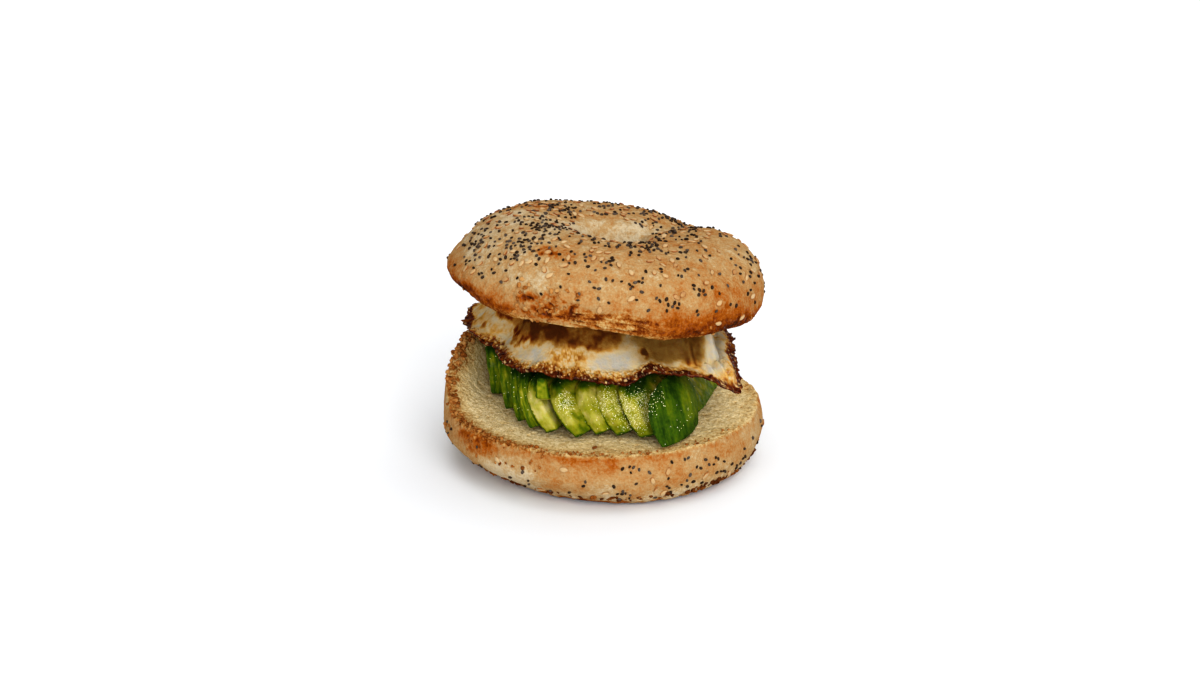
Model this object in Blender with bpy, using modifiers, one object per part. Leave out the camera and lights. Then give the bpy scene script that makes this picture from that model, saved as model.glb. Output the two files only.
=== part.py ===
"""Bagel sandwich: a seeded bagel cut in two, filled with fanned avocado slices and a fried egg.

Millimetre values are multiplied by MM, so the model is in metres. +Z is up, the front is -Y, and the
origin lies on the table under the middle of the bottom half.
"""
import math
import random

import bmesh
import bpy
from mathutils import Matrix, Vector, noise
from mathutils.bvhtree import BVHTree

MM = 0.001

# Both bagel halves share one upright axis.
AXIS_X = 1.0
AXIS_Y = 2.0
SEGMENTS = 60

# Bottom half: a thick round slab with a flat underside and a raised lip at its left back.
BASE_RADIUS = 45.0
BASE_WIDE_RADIUS = 55.5
BASE_WIDE_HEIGHT = 12.5
BASE_UNDERCUT = 0.14
BASE_UNDERCUT_ANGLE = -142.0
CUT_RADIUS = 54.0
CUT_HEIGHT = 20.0
CUT_RINGS = (0.3, 0.55, 0.72, 0.85, 0.94)
SIDE_STEPS = 5
LIP_HEIGHT = 17.0
LIP_ANGLE = 146.0
LIP_SPREAD = 58.0
LIP_FOOT_RADIUS = 41.0
LIP_CLEARANCE = 3.2
LIP_SLOPE = 0.75

# Top half: the domed half with the closed hole of the bagel in its middle.
RIM_RADIUS = 52.0
WIDE_RADIUS = 54.4
WIDE_HEIGHT = 6.5
CREST_RADIUS = 26.5
CREST_HEIGHT = 24.0
DIMPLE_RADIUS = 6.0
DIMPLE_MOUTH_RADIUS = 14.0
DIMPLE_MOUTH_HEIGHT = 22.3
DIMPLE_HEIGHT = 11.5
DIMPLE_BOWL = 0.8
WALL_STEPS = 4
DOME_STEPS = 8
DOME_FULLNESS = 0.92
DIMPLE_SHIFT = (1.0, -5.0)
TOP_LIFT = 59.0
TOP_ROLL = 7.07
TOP_PITCH = -3.38
CREASE_ANGLE = 38.0
CREASE_DEPTH = 2.8
# Height, place and half width of each wave of the lower rim along the front.
RIM_WAVES = ((0.9, -48.0, 10.0), (-1.0, -32.0, 15.0), (0.6, -3.0, 14.0),
             (-1.2, 19.0, 12.0), (-0.6, 31.0, 8.0), (0.5, 40.0, 9.0))

# Avocado slices: D-shaped plates that stand on the crumb and lean on one another like books.
SLICE_THICKNESS = 4.7
SLICE_GAP = 0.35
SLICE_FLOOR = 20.75
SLICE_SIDES = 26
SLICE_FOOT = 1.2
SLICE_ROUNDNESS = 2.5
# Tip, lean, heading, length and top level of each fanned slice, from the left to the right.
SLICE_ROWS = (
    ((-33.0, 1.0), 8.0, 0.0, 31.0, 40.8),
    ((-27.5, -14.0), 12.0, 5.0, 48.0, 41.0),
    ((-22.8, -25.5), 16.0, 9.0, 58.0, 41.2),
    ((-18.8, -32.5), 20.0, 13.0, 64.0, 41.4),
    ((-13.3, -37.0), 26.0, 18.0, 67.0, 41.5),
    ((-4.0, -41.5), 34.0, 25.0, 66.0, 41.5),
    ((2.8, -39.5), 30.0, 31.0, 60.0, 41.5),
    ((9.3, -40.2), 28.0, 34.0, 52.0, 41.4),
    ((17.0, -42.6), 27.0, 36.0, 41.0, 41.2),
    ((34.0, -22.0), 34.0, 15.0, 38.0, 40.2),
)
CAP_TIP = (19.4, -47.4)
CAP_LEAN = 21.0
CAP_TURN = 31.0
CAP_CENTRE = (13.0, -20.0)
CAP_RADII = (20.5, 28.0, 20.4)
CAP_FULLNESS = 0.72
CAP_SEGMENTS = 28
CAP_BACK = (33.2, -21.0, 30.0)
CAP_BACK_FACE = (0.5, 0.85, 0.1)
SCRAP_PLACE = (-16.8, -33.8, 36.9)
SCRAP_SIZE = (5.6, 3.6, 7.0)
SCRAP_TURN = -8.0
SCRAP_LEAN = -28.0
SCRAP_TAPER = 0.55
SCRAP_ROUNDING = 0.9

# Fried egg: a sheet draped over the slices, thick in the middle and thin at its crisp edge.
EGG_FLOOR = 42.2
EGG_EDGE_THICKNESS = 1.9
EGG_LEAST_THICKNESS = 1.3
EGG_CLEARANCE = 0.5
EGG_SEGMENTS = 68
EGG_RINGS = 16
EGG_MIDDLE = (2.0, 2.0)
EGG_RIPPLE = 0.7
# Places of the egg's crisp lower edge, from the left tip along the front and round the back.
EGG_EDGE = (
    (-47.5, 19.0, 42.6), (-44.4, 5.0, 42.3), (-36.8, -5.0, 40.6), (-33.7, -17.0, 41.2),
    (-27.6, -27.0, 40.6), (-19.4, -33.0, 41.9), (-11.4, -36.5, 41.0), (-3.4, -38.5, 41.0),
    (8.5, -38.0, 39.4), (16.5, -35.0, 42.5), (24.5, -35.5, 42.0), (32.5, -35.5, 41.2),
    (38.1, -35.0, 39.2), (46.8, -31.5, 34.6), (46.5, -10.0, 38.4), (46.0, 10.0, 40.0),
    (38.0, 32.0, 37.0), (18.0, 43.0, 35.0), (-8.0, 46.0, 35.5), (-30.0, 42.0, 39.0),
    (-45.0, 33.0, 43.5),
)

# Seeds, fused to the crust.
SESAME_LENGTH = 3.2
SESAME_WIDTH = 1.9
SESAME_HEIGHT = 1.0
SESAME_SINK = 0.12
POPPY_DIAMETER = 1.25
POPPY_SINK = 0.18
# Each kind of seed with its number and the room that each seed keeps round itself.
TOP_SEEDS = (("sesame", 34, 1.9), ("poppy", 100, 1.2))
BOTTOM_SEEDS = (("sesame", 8, 1.9), ("poppy", 24, 1.2))
# Radius and height of the middle of the dough ring, and how far up and down round it the seeds lie.
TOP_DOUGH = (CREST_RADIUS, 6.0)
TOP_TILTS = (4.0, 128.0)
TOP_DRAW = 21
BOTTOM_DOUGH = (30.0, 9.0)
BOTTOM_TILTS = (-14.0, 18.0)
BOTTOM_DRAW = 22


def clamp01(value):
    return max(0.0, min(1.0, value))


def ease(start, end, value):
    """0 before start, 1 after end and a smooth change between them."""
    t = clamp01((value - start) / (end - start))
    return t * t * (3.0 - 2.0 * t)


def lobe(angle, centre, spread):
    """A round bump in an angle, in degrees: 1 at centre and 0 from spread onwards."""
    away = abs((angle - centre + 180.0) % 360.0 - 180.0)
    return 0.5 + 0.5 * math.cos(math.pi * min(1.0, away / spread))


def rough(x, y, z, grain, seed=0.0):
    """Smooth noise from -1 to 1 whose lumps are about one grain wide."""
    return noise.noise(Vector((x / grain + seed, y / grain - seed, z / grain + 2.0 * seed)))


def make_material(name, colour, roughness, metallic=0.0):
    material = bpy.data.materials.new(name)
    material.use_nodes = True
    shader = material.node_tree.nodes["Principled BSDF"]
    shader.inputs["Base Color"].default_value = (*colour, 1.0)
    shader.inputs["Roughness"].default_value = roughness
    shader.inputs["Metallic"].default_value = metallic
    material.diffuse_color = (*colour, 1.0)
    return material


def add_object(name, mesh, material, collection):
    obj = bpy.data.objects.new(name, mesh)
    collection.objects.link(obj)
    if material:
        mesh.materials.append(material)
    mesh.shade_smooth()
    return obj


def evaluated_mesh(obj):
    graph = bpy.context.evaluated_depsgraph_get()
    graph.update()
    return bpy.data.meshes.new_from_object(obj.evaluated_get(graph))


def turned_mesh(profile, collection):
    """Turn a profile of (radius, height) round the Z axis, from its top to its foot."""
    mesh = bpy.data.meshes.new("profile")
    points = [(radius * MM, 0.0, height * MM) for radius, height in profile]
    mesh.from_pydata(points, [(i, i + 1) for i in range(len(points) - 1)], [])
    obj = bpy.data.objects.new("profile", mesh)
    collection.objects.link(obj)
    screw = obj.modifiers.new("turn", "SCREW")
    screw.steps = SEGMENTS
    screw.render_steps = SEGMENTS
    screw.use_merge_vertices = True
    screw.merge_threshold = 0.00001
    result = evaluated_mesh(obj)
    bpy.data.objects.remove(obj)
    return result


def shape_points(mesh, move):
    """Move every point of a mesh by a function of its place in millimetres."""
    for vertex in mesh.vertices:
        x, y, z = vertex.co / MM
        vertex.co = Vector(move(x, y, z)) * MM
    mesh.update()


def quarter(start, end, steps):
    """Points of a quarter ellipse that leaves start along the radius and nears end upright."""
    points = []
    for step in range(1, steps):
        a = 0.5 * math.pi * step / steps
        radius = start[0] + (end[0] - start[0]) * math.sin(a)
        height = start[1] + (end[1] - start[1]) * (1.0 - math.cos(a))
        points.append((radius, height))
    return points


def bottom_profile():
    """The flat cut from its middle to the rim, the bulging side and the flat underside."""
    points = [(0.0, CUT_HEIGHT)]
    points += [(CUT_RADIUS * share, CUT_HEIGHT) for share in CUT_RINGS]
    points += [(CUT_RADIUS, CUT_HEIGHT - 0.4), (CUT_RADIUS + 0.9, CUT_HEIGHT - 2.6)]
    points.append((BASE_WIDE_RADIUS, BASE_WIDE_HEIGHT))
    points += quarter((BASE_RADIUS, 0.0), (BASE_WIDE_RADIUS, BASE_WIDE_HEIGHT), SIDE_STEPS)[::-1]
    points += [(BASE_RADIUS, 0.0), (BASE_RADIUS * 0.5, 0.0), (0.0, 0.0)]
    return points


def shape_bottom(x, y, z):
    """The lip, the uneven cut and the lumpy side of the bottom half; its underside stays flat."""
    radius = math.hypot(x, y)
    angle = math.degrees(math.atan2(y, x))
    height = z / CUT_HEIGHT
    lip = LIP_HEIGHT * lobe(angle, LIP_ANGLE, LIP_SPREAD)
    lift = lip * ease(LIP_FOOT_RADIUS, CUT_RADIUS - 0.5, radius) * ease(0.35, 1.0, height)
    uneven = 0.35 * rough(x, y, 0.0, 13.0, 3.1) * ease(0.9, 1.0, height)
    side = 0.7 * rough(x, y, z, 15.0, 1.7) * ease(0.05, 0.4, height) * ease(40.0, 52.0, radius)
    ragged = 0.55 * rough(x, y, z, 3.2, 5.3) * ease(0.8, 1.0, height) * ease(50.0, 54.0, radius)
    flatter_back = 2.6 * lobe(angle, 55.0, 50.0) * ease(30.0, 54.0, radius)
    undercut = BASE_UNDERCUT * lobe(angle, BASE_UNDERCUT_ANGLE, 85.0) * ease(0.62, 0.0, height)
    grow = 1.0 - undercut + (side + ragged - flatter_back) / max(radius, 1.0)
    return x * grow + AXIS_X, y * grow + AXIS_Y, z + lift + uneven + 0.5 * ragged * ease(0.9, 1.0, height)


def top_profile():
    """The crust from the floor of the dimple over the crest to the rim, then the flat cut."""
    floor_edge = DIMPLE_HEIGHT + DIMPLE_BOWL
    points = [(0.0, DIMPLE_HEIGHT), (DIMPLE_RADIUS * 0.6, DIMPLE_HEIGHT + 0.6 * DIMPLE_BOWL)]
    for step in range(1, WALL_STEPS + 1):
        a = math.pi * step / WALL_STEPS
        radius = DIMPLE_RADIUS + (DIMPLE_MOUTH_RADIUS - DIMPLE_RADIUS) * step / WALL_STEPS
        share = 0.5 - 0.5 * math.cos(a)
        points.append((radius, floor_edge + (DIMPLE_MOUTH_HEIGHT - floor_edge) * share))
    points.append((0.5 * (DIMPLE_MOUTH_RADIUS + CREST_RADIUS), CREST_HEIGHT - 0.4))
    points.append((CREST_RADIUS, CREST_HEIGHT))
    for step in range(1, DOME_STEPS + 1):
        a = 0.5 * math.pi * step / DOME_STEPS
        radius = CREST_RADIUS + (WIDE_RADIUS - CREST_RADIUS) * math.sin(a) ** DOME_FULLNESS
        height = WIDE_HEIGHT + (CREST_HEIGHT - WIDE_HEIGHT) * math.cos(a) ** DOME_FULLNESS
        points.append((radius, height))
    points += [(WIDE_RADIUS - 0.2, 4.0), (RIM_RADIUS + 1.2, 1.6), (RIM_RADIUS, 0.0)]
    points += [(RIM_RADIUS * share, 0.0) for share in CUT_RINGS[::-1]]
    points.append((0.0, 0.0))
    return points


def rim_wave(x):
    """How far the lower rim rises and falls along the front, from left to right."""
    return sum(height * lobe(x, middle, width) for height, middle, width in RIM_WAVES)


def shape_top(x, y, z):
    """The plumper left side, the crease, the rim's waves and the lumps of the top half."""
    radius = math.hypot(x, y)
    angle = math.degrees(math.atan2(y, x))
    height = z / CREST_HEIGHT
    crust = ease(0.02, 0.3, height)
    slope = 5.0 * lobe(angle, 185.0, 75.0) * ease(0.15, 0.58, height) * ease(24.0, 44.0, radius)
    shoulder = 1.9 * lobe(angle, -2.0, 46.0) * ease(22.0, 38.0, radius)
    crease = CREASE_DEPTH * lobe(angle, CREASE_ANGLE, 26.0)
    crease *= ease(6.0, 20.0, radius) * ease(52.0, 40.0, radius)
    lumps = 0.8 * rough(x, y, z, 17.0, 2.3) + 0.3 * rough(x, y, z, 5.0, 8.1)
    wave = rim_wave(x) * ease(38.0, 51.0, radius) * ease(0.45, 0.1, height)
    tear = 0.9 * lobe(angle, -97.0, 34.0) * ease(0.42, 0.25, height) * ease(0.03, 0.2, height)
    ragged = 0.5 * rough(x, y, z, 2.8, 6.6) * ease(49.0, 52.0, radius) * ease(0.3, 0.0, height)
    inward = ease(34.0, 14.0, radius)
    grow = 1.0 + (0.6 * lumps * crust - slope - tear + ragged) / max(radius, 1.0)
    z += wave + crust * (0.5 * lumps + shoulder * ease(0.3, 0.7, height) - crease * ease(0.3, 0.8, height))
    return x * grow + DIMPLE_SHIFT[0] * inward, y * grow + DIMPLE_SHIFT[1] * inward, z


def top_placement():
    """The top half rests on the egg, lower at its right and at its back."""
    lift = Matrix.Translation(Vector((AXIS_X, AXIS_Y, TOP_LIFT)) * MM)
    roll = Matrix.Rotation(math.radians(TOP_ROLL), 4, "Y")
    return lift @ roll @ Matrix.Rotation(math.radians(TOP_PITCH), 4, "X")


def cut_plane(x, y):
    """Height of the top half's flat cut over a point of the table."""
    return (TOP_LIFT - math.tan(math.radians(TOP_ROLL)) * (x - AXIS_X)
            + math.tan(math.radians(TOP_PITCH)) * (y - AXIS_Y))


def seed_mesh(kind):
    """One low seed, pointed at one end when it is a sesame seed."""
    shape = bmesh.new()
    bmesh.ops.create_icosphere(shape, subdivisions=1, radius=0.5 * MM)
    for vertex in shape.verts:
        if kind == "sesame":
            taper = 1.0 - 0.45 * ease(-0.1, 0.5, vertex.co.x / MM)
            vertex.co = Vector((vertex.co.x * SESAME_LENGTH, vertex.co.y * SESAME_WIDTH * taper,
                                vertex.co.z * SESAME_HEIGHT * taper))
        else:
            vertex.co *= POPPY_DIAMETER
    mesh = bpy.data.meshes.new(kind)
    shape.to_mesh(mesh)
    shape.free()
    return mesh


def crust_point(tree, ring_radius, ring_height, angle, tilt):
    """The point of the crust seen from the middle of the dough ring, along angle and tilt."""
    around = Vector((math.cos(angle), math.sin(angle), 0.0))
    middle = around * ring_radius * MM + Vector((0.0, 0.0, ring_height * MM))
    out = around * math.cos(tilt) + Vector((0.0, 0.0, math.sin(tilt)))
    place, normal, _, _ = tree.ray_cast(middle + out * 0.08, -out)
    return place, normal


def strew_seeds(body, counts, ring, tilts, density, seed, collection):
    """Lay seeds on a crust by a seeded draw, keep them apart, and return their objects."""
    draw = random.Random(seed)
    corners = [vertex.co for vertex in body.data.vertices]
    tree = BVHTree.FromPolygons(corners, [face.vertices for face in body.data.polygons])
    laid = []
    objects = []
    for kind, count, room in counts:
        mesh = seed_mesh(kind)
        placed = 0
        while placed < count:
            angle = draw.uniform(-math.pi, math.pi)
            tilt = math.radians(draw.uniform(*tilts))
            spin = draw.uniform(0.0, 2.0 * math.pi)
            keep = draw.random()
            place, normal = crust_point(tree, ring[0], ring[1], angle, tilt)
            if place is None or keep > density(math.degrees(angle), math.degrees(tilt)):
                continue
            if any((place - other).length < (room + size) * MM for other, size in laid):
                continue
            laid.append((place, room))
            placed += 1
            obj = bpy.data.objects.new("seed", mesh)
            turn = normal.to_track_quat("Z", "X").to_matrix().to_4x4() @ Matrix.Rotation(spin, 4, "Z")
            sink = SESAME_SINK if kind == "sesame" else POPPY_SINK
            obj.matrix_world = body.matrix_world @ Matrix.Translation(place + normal * sink * MM) @ turn
            collection.objects.link(obj)
            objects.append(obj)
    return objects


def fuse(body, pieces, collection):
    """Join the pieces of a collection to a body with one union and remove them."""
    union = body.modifiers.new("seeds", "BOOLEAN")
    union.operation = "UNION"
    union.operand_type = "COLLECTION"
    union.collection = collection
    union.solver = "EXACT"
    joined = evaluated_mesh(body)
    body.modifiers.clear()
    body.data = joined
    for piece in pieces:
        bpy.data.objects.remove(piece)
    bpy.data.collections.remove(collection)


def top_density(angle, tilt):
    """More seeds at the upper left and round the dimple, few at the front right and low down."""
    left = 0.25 + 0.75 * lobe(angle, 190.0, 130.0)
    high = 0.15 + 0.85 * ease(5.0, 45.0, tilt)
    floor = ease(128.0, 105.0, tilt)
    return left * high * floor


def bottom_density(angle, tilt):
    """Most seeds of the bottom half show at its front right."""
    return 0.35 + 0.65 * lobe(angle, -60.0, 60.0)


def build_halves(food):
    """Both halves of the bagel, each with its seeds baked on."""
    crust_low = make_material("bottom_crust", (0.62, 0.39, 0.17), 0.75)
    crust_high = make_material("top_crust", (0.66, 0.43, 0.2), 0.7)
    bottom = add_object("bagel_bottom", turned_mesh(bottom_profile(), food), crust_low, food)
    shape_points(bottom.data, shape_bottom)
    top = add_object("bagel_top", turned_mesh(top_profile(), food), crust_high, food)
    shape_points(top.data, shape_top)
    top.matrix_world = top_placement()
    bpy.context.view_layer.update()
    for body, counts, ring, tilts, density, seed in (
            (top, TOP_SEEDS, TOP_DOUGH, TOP_TILTS, top_density, TOP_DRAW),
            (bottom, BOTTOM_SEEDS, BOTTOM_DOUGH, BOTTOM_TILTS, bottom_density, BOTTOM_DRAW)):
        seeds = bpy.data.collections.new("seeds")
        bpy.context.scene.collection.children.link(seeds)
        pieces = strew_seeds(body, counts, ring, tilts, density, seed, seeds)
        bpy.context.view_layer.update()
        fuse(body, pieces, seeds)


def slice_frame(tip, roll, turn):
    """Axes of a slice: along its foot, up its face and out of its face.

    turn is the heading of the foot to the right of +Y, and roll the lean of the face from upright.
    """
    t = math.radians(turn)
    lean = math.radians(roll)
    along = Vector((math.sin(t), math.cos(t), 0.0))
    side = Vector((math.cos(t), -math.sin(t), 0.0))
    out = side * math.cos(lean) + Vector((0.0, 0.0, math.sin(lean)))
    up = out.cross(along)
    if up.z < 0.0:
        up = -up
    origin = Vector((tip[0], tip[1], SLICE_FLOOR))
    return origin, along, up, out


def slice_body(frame, length, top, thickness):
    """A plate with a flat foot and a rounded outer edge, its outer face in the frame's plane."""
    origin, along, up, out = frame
    height = (top - SLICE_FLOOR - out.z * thickness) / up.z
    shape = bmesh.new()
    bmesh.ops.create_cone(shape, cap_ends=True, segments=SLICE_SIDES, radius1=1.0, radius2=1.0, depth=1.0)
    power = 2.0 / SLICE_ROUNDNESS
    lift = out.z * thickness
    for vertex in shape.verts:
        c, s, face = vertex.co
        run = 0.5 * length * (1.0 + math.copysign(abs(c) ** power, c))
        reach = height - SLICE_FOOT if s > 0.0 else SLICE_FOOT
        rise = SLICE_FOOT + math.copysign(abs(s) ** power, s) * reach
        depth = (face - 0.5) * thickness
        point = origin + along * run + up * rise + out * depth + Vector((0.0, 0.0, lift))
        vertex.co = point * MM
    return shape


def trim(shape, point, normal):
    """Cut off what lies in front of a plane and close the cut."""
    geometry = shape.verts[:] + shape.edges[:] + shape.faces[:]
    cut = bmesh.ops.bisect_plane(shape, geom=geometry, dist=1e-7, plane_co=point * MM, plane_no=normal,
                                 clear_outer=True)
    edges = [item for item in cut["geom_cut"] if isinstance(item, bmesh.types.BMEdge)]
    if edges:
        bmesh.ops.holes_fill(shape, edges=edges)


def outer_plane(frame, away):
    """A point of a slice's outer face, moved outwards by a distance, and the outward direction."""
    origin, _, _, out = frame
    return origin + Vector((0.0, 0.0, out.z * SLICE_THICKNESS)) + out * away, out


def finish_shape(shape, name, material, collection):
    """Turn the faces outwards and make the object."""
    bmesh.ops.recalc_face_normals(shape, faces=shape.faces)
    if shape.calc_volume(signed=True) < 0.0:
        bmesh.ops.reverse_faces(shape, faces=shape.faces)
    mesh = bpy.data.meshes.new(name)
    shape.to_mesh(mesh)
    shape.free()
    return add_object(name, mesh, material, collection)


def build_slices(green, food):
    """Each slice is cut back where it would meet the lip of the bread or the slice that lies on it."""
    frames = [slice_frame(tip, roll, turn) for tip, roll, turn, _, _ in SLICE_ROWS]
    lip = math.radians(LIP_ANGLE)
    lip_out = Vector((math.cos(lip), math.sin(lip), 0.0))
    lip_point = Vector((AXIS_X, AXIS_Y, SLICE_FLOOR)) + lip_out * (LIP_FOOT_RADIUS - LIP_CLEARANCE)
    lip_face = (lip_out - Vector((0.0, 0.0, LIP_SLOPE))).normalized()
    for index, (_, _, _, length, top) in enumerate(SLICE_ROWS):
        shape = slice_body(frames[index], length, top, SLICE_THICKNESS)
        trim(shape, lip_point, lip_face)
        for frame in frames[index + 1:]:
            trim(shape, *outer_plane(frame, -SLICE_THICKNESS - SLICE_GAP))
        if index == len(SLICE_ROWS) - 1:
            trim(shape, Vector(CAP_BACK), -Vector(CAP_BACK_FACE).normalized())
        finish_shape(shape, "avocado_slice_%02d" % (index + 1), green, food)


def build_cap(green, food):
    """The rounded end of the avocado half, dark skin side out, beside the last fanned slice."""
    shape = bmesh.new()
    bmesh.ops.create_uvsphere(shape, u_segments=CAP_SEGMENTS, v_segments=CAP_SEGMENTS // 2, radius=1.0)
    for vertex in shape.verts:
        x, y, z = vertex.co
        level = math.hypot(x, y)
        fuller = level ** CAP_FULLNESS / max(level, 1e-6)
        place = Vector((x * fuller, y * fuller, math.copysign(abs(z) ** CAP_FULLNESS, z)))
        vertex.co = (Vector((*CAP_CENTRE, SLICE_FLOOR)) + place * Vector(CAP_RADII)) * MM
    trim(shape, Vector((0.0, 0.0, SLICE_FLOOR)), Vector((0.0, 0.0, -1.0)))
    face, _, _, out = slice_frame(CAP_TIP, CAP_LEAN, CAP_TURN)
    trim(shape, face, -out)
    back = Vector(CAP_BACK_FACE).normalized()
    trim(shape, Vector(CAP_BACK) - back * SLICE_GAP, back)
    finish_shape(shape, "avocado_end", green, food)


def build_scrap(green, food):
    """A small broken corner of avocado that lies against the fanned slices."""
    shape = bmesh.new()
    bmesh.ops.create_cube(shape, size=1.0)
    turn = Matrix.Rotation(math.radians(SCRAP_TURN), 3, "Z")
    turn = turn @ Matrix.Rotation(math.radians(SCRAP_LEAN), 3, "X")
    for vertex in shape.verts:
        taper = 1.0 if vertex.co.z < 0.0 else SCRAP_TAPER
        size = Vector((SCRAP_SIZE[0] * taper, SCRAP_SIZE[1], SCRAP_SIZE[2]))
        vertex.co = (Vector(SCRAP_PLACE) + turn @ (vertex.co * size)) * MM
    bmesh.ops.bevel(shape, geom=shape.edges[:], offset=SCRAP_ROUNDING * MM, segments=2, affect="EDGES",
                    profile=0.5)
    finish_shape(shape, "avocado_scrap", green, food)


def build_avocado(food):
    """All the avocado pieces, of one ripe green."""
    green = make_material("avocado_flesh", (0.42, 0.47, 0.1), 0.3)
    build_slices(green, food)
    build_cap(green, food)
    build_scrap(green, food)


def closed_curve(points, t):
    """A point of the smooth closed curve through the points, t from 0 to 1 once round."""
    count = len(points)
    place = (t % 1.0) * count
    index = int(place)
    u = place - index
    p0, p1, p2, p3 = (Vector(points[(index + k - 1) % count]) for k in range(4))
    return 0.5 * (2.0 * p1 + (p2 - p0) * u + (2.0 * p0 - 5.0 * p1 + 4.0 * p2 - p3) * u * u
                  + (3.0 * p1 - p0 - 3.0 * p2 + p3) * u ** 3)


def egg_rise(angle, t):
    """How much of its full height the egg has at a share t of the way to its edge."""
    fold = lobe(angle, -40.0, 34.0)
    start = 0.97 - 0.09 * fold
    end = 0.5 + 0.24 * fold + 0.12 * lobe(angle, 100.0, 90.0)
    return ease(start, end, t)


def build_egg(food):
    """A closed sheet: its upper side rises to the cut of the top half, its under side clears the slices."""
    white = make_material("egg_white", (0.86, 0.8, 0.62), 0.35)
    shape = bmesh.new()
    bmesh.ops.create_uvsphere(shape, u_segments=EGG_SEGMENTS, v_segments=EGG_RINGS, radius=1.0)
    for vertex in shape.verts:
        x, y, z = vertex.co
        t = clamp01(math.hypot(x, y))
        turn = math.atan2(y, x) / (2.0 * math.pi) + 0.5
        rim = closed_curve(EGG_EDGE, turn)
        px = EGG_MIDDLE[0] + (rim.x - EGG_MIDDLE[0]) * t
        py = EGG_MIDDLE[1] + (rim.y - EGG_MIDDLE[1]) * t
        angle = math.degrees(math.atan2(py - EGG_MIDDLE[1], px - EGG_MIDDLE[0]))
        ripple = EGG_RIPPLE * rough(px, py, 0.0, 4.0, 4.4) * ease(0.55, 0.9, t)
        crown = cut_plane(px, py) - EGG_CLEARANCE
        rise = egg_rise(angle, t)
        edge_top = rim.z + EGG_EDGE_THICKNESS
        under = rim.z + (EGG_FLOOR - rim.z) * ease(1.0, 0.86, t) + ripple * ease(0.86, 1.0, t)
        upper = edge_top + (crown - edge_top) * rise + ripple * (1.0 - rise)
        upper = max(upper, under + EGG_LEAST_THICKNESS)
        middle = rim.z + 0.5 * EGG_EDGE_THICKNESS + ripple
        height = upper if z > 1e-4 else under if z < -1e-4 else middle
        vertex.co = Vector((px, py, height)) * MM
    mesh = bpy.data.meshes.new("egg")
    shape.to_mesh(mesh)
    shape.free()
    return add_object("fried_egg", mesh, white, food)


def main():
    for obj in list(bpy.data.objects):
        bpy.data.objects.remove(obj)
    food = bpy.data.collections.new("bagel_sandwich")
    bpy.context.scene.collection.children.link(food)
    build_halves(food)
    build_avocado(food)
    build_egg(food)


main()
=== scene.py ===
# %% [markdown]
# # The looks of a bagel sandwich
#
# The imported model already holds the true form: two bagel halves, a fried egg and a fan of avocado.
# This lesson dresses that form. Each piece is made again, finer, from the same sizes or from the solid
# itself. It gets the small relief that baking, frying and cutting leave, and then a finish made by nodes.
# All lengths are in millimetres and are turned into metres when a mesh is made.

# %% Load the frame
import math
import random
from types import SimpleNamespace

import bmesh
import bpy
import numpy as np
from mathutils import Matrix, Vector, noise
from mathutils.bvhtree import BVHTree


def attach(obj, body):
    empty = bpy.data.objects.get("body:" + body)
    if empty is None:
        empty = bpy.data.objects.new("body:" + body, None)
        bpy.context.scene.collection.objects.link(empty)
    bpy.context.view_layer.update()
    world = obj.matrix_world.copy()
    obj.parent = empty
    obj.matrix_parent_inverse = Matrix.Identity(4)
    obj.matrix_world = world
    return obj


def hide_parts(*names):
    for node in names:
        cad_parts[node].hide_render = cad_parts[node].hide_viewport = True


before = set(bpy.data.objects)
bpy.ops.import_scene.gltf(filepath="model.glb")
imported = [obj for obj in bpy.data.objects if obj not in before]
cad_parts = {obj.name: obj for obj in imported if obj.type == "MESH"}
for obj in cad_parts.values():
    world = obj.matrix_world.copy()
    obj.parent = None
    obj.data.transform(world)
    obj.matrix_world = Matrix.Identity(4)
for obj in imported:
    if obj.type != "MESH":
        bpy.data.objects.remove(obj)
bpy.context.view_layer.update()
MM = 0.001
print("nodes in the frame:", len(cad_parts))

# %% [markdown]
# ## Camera
#
# The sandwich was seen from a little above, through a long lens: a lens that long keeps the far rim of
# the bread almost as wide as the near one. The distance, the tilt and the lens come from matching the
# outlines of both halves, so they are kept as plain sizes here.

# %% Camera
EYE_DISTANCE = 700.0
EYE_ANGLE = 19.3
EYE_TARGET = Vector((0.0, 0.0, 43.0))
LENS_PIXELS = 2030.0
IMAGE_WIDTH = 1200.0

tilt = math.radians(EYE_ANGLE)
camera = bpy.data.objects.new("camera", bpy.data.cameras.new("camera"))
camera.location = (EYE_TARGET + EYE_DISTANCE * Vector((0.0, -math.cos(tilt), math.sin(tilt)))) * MM
camera.rotation_euler = (math.radians(90.0) - tilt, 0.0, 0.0)
camera.data.sensor_width = 36.0
camera.data.lens = LENS_PIXELS / IMAGE_WIDTH * camera.data.sensor_width
bpy.context.scene.collection.objects.link(camera)
bpy.context.scene.camera = camera
print("lens, mm:", round(camera.data.lens, 1))

# %% [markdown]
# ## Light
#
# Food is usually lit by one large soft lamp and much white round it. A very wide sun from above gives
# the soft lamp, so the shadow on the floor has no edge. One from the front right opens the filling, a
# weak one almost level with the table reaches under the bulge of the bread, as white card would, and a
# plain white world gives the rest.

# %% Light
WORLD_STRENGTH = 0.34
# Each lamp: its strength, its width in degrees and its turns about X and Z in degrees.
LAMPS = {
    "top_lamp": (1.4, 80.0, 16.0, 120.0),
    "front_lamp": (2.5, 50.0, 64.0, 18.0),
    "low_lamp": (1.0, 70.0, 84.0, -32.0),
}

for lamp_name, (strength, width, lean, turn) in LAMPS.items():
    lamp = bpy.data.objects.new(lamp_name, bpy.data.lights.new(lamp_name, "SUN"))
    lamp.data.energy = strength
    lamp.data.angle = math.radians(width)
    lamp.rotation_euler = (math.radians(lean), 0.0, math.radians(turn))
    bpy.context.scene.collection.objects.link(lamp)

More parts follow.
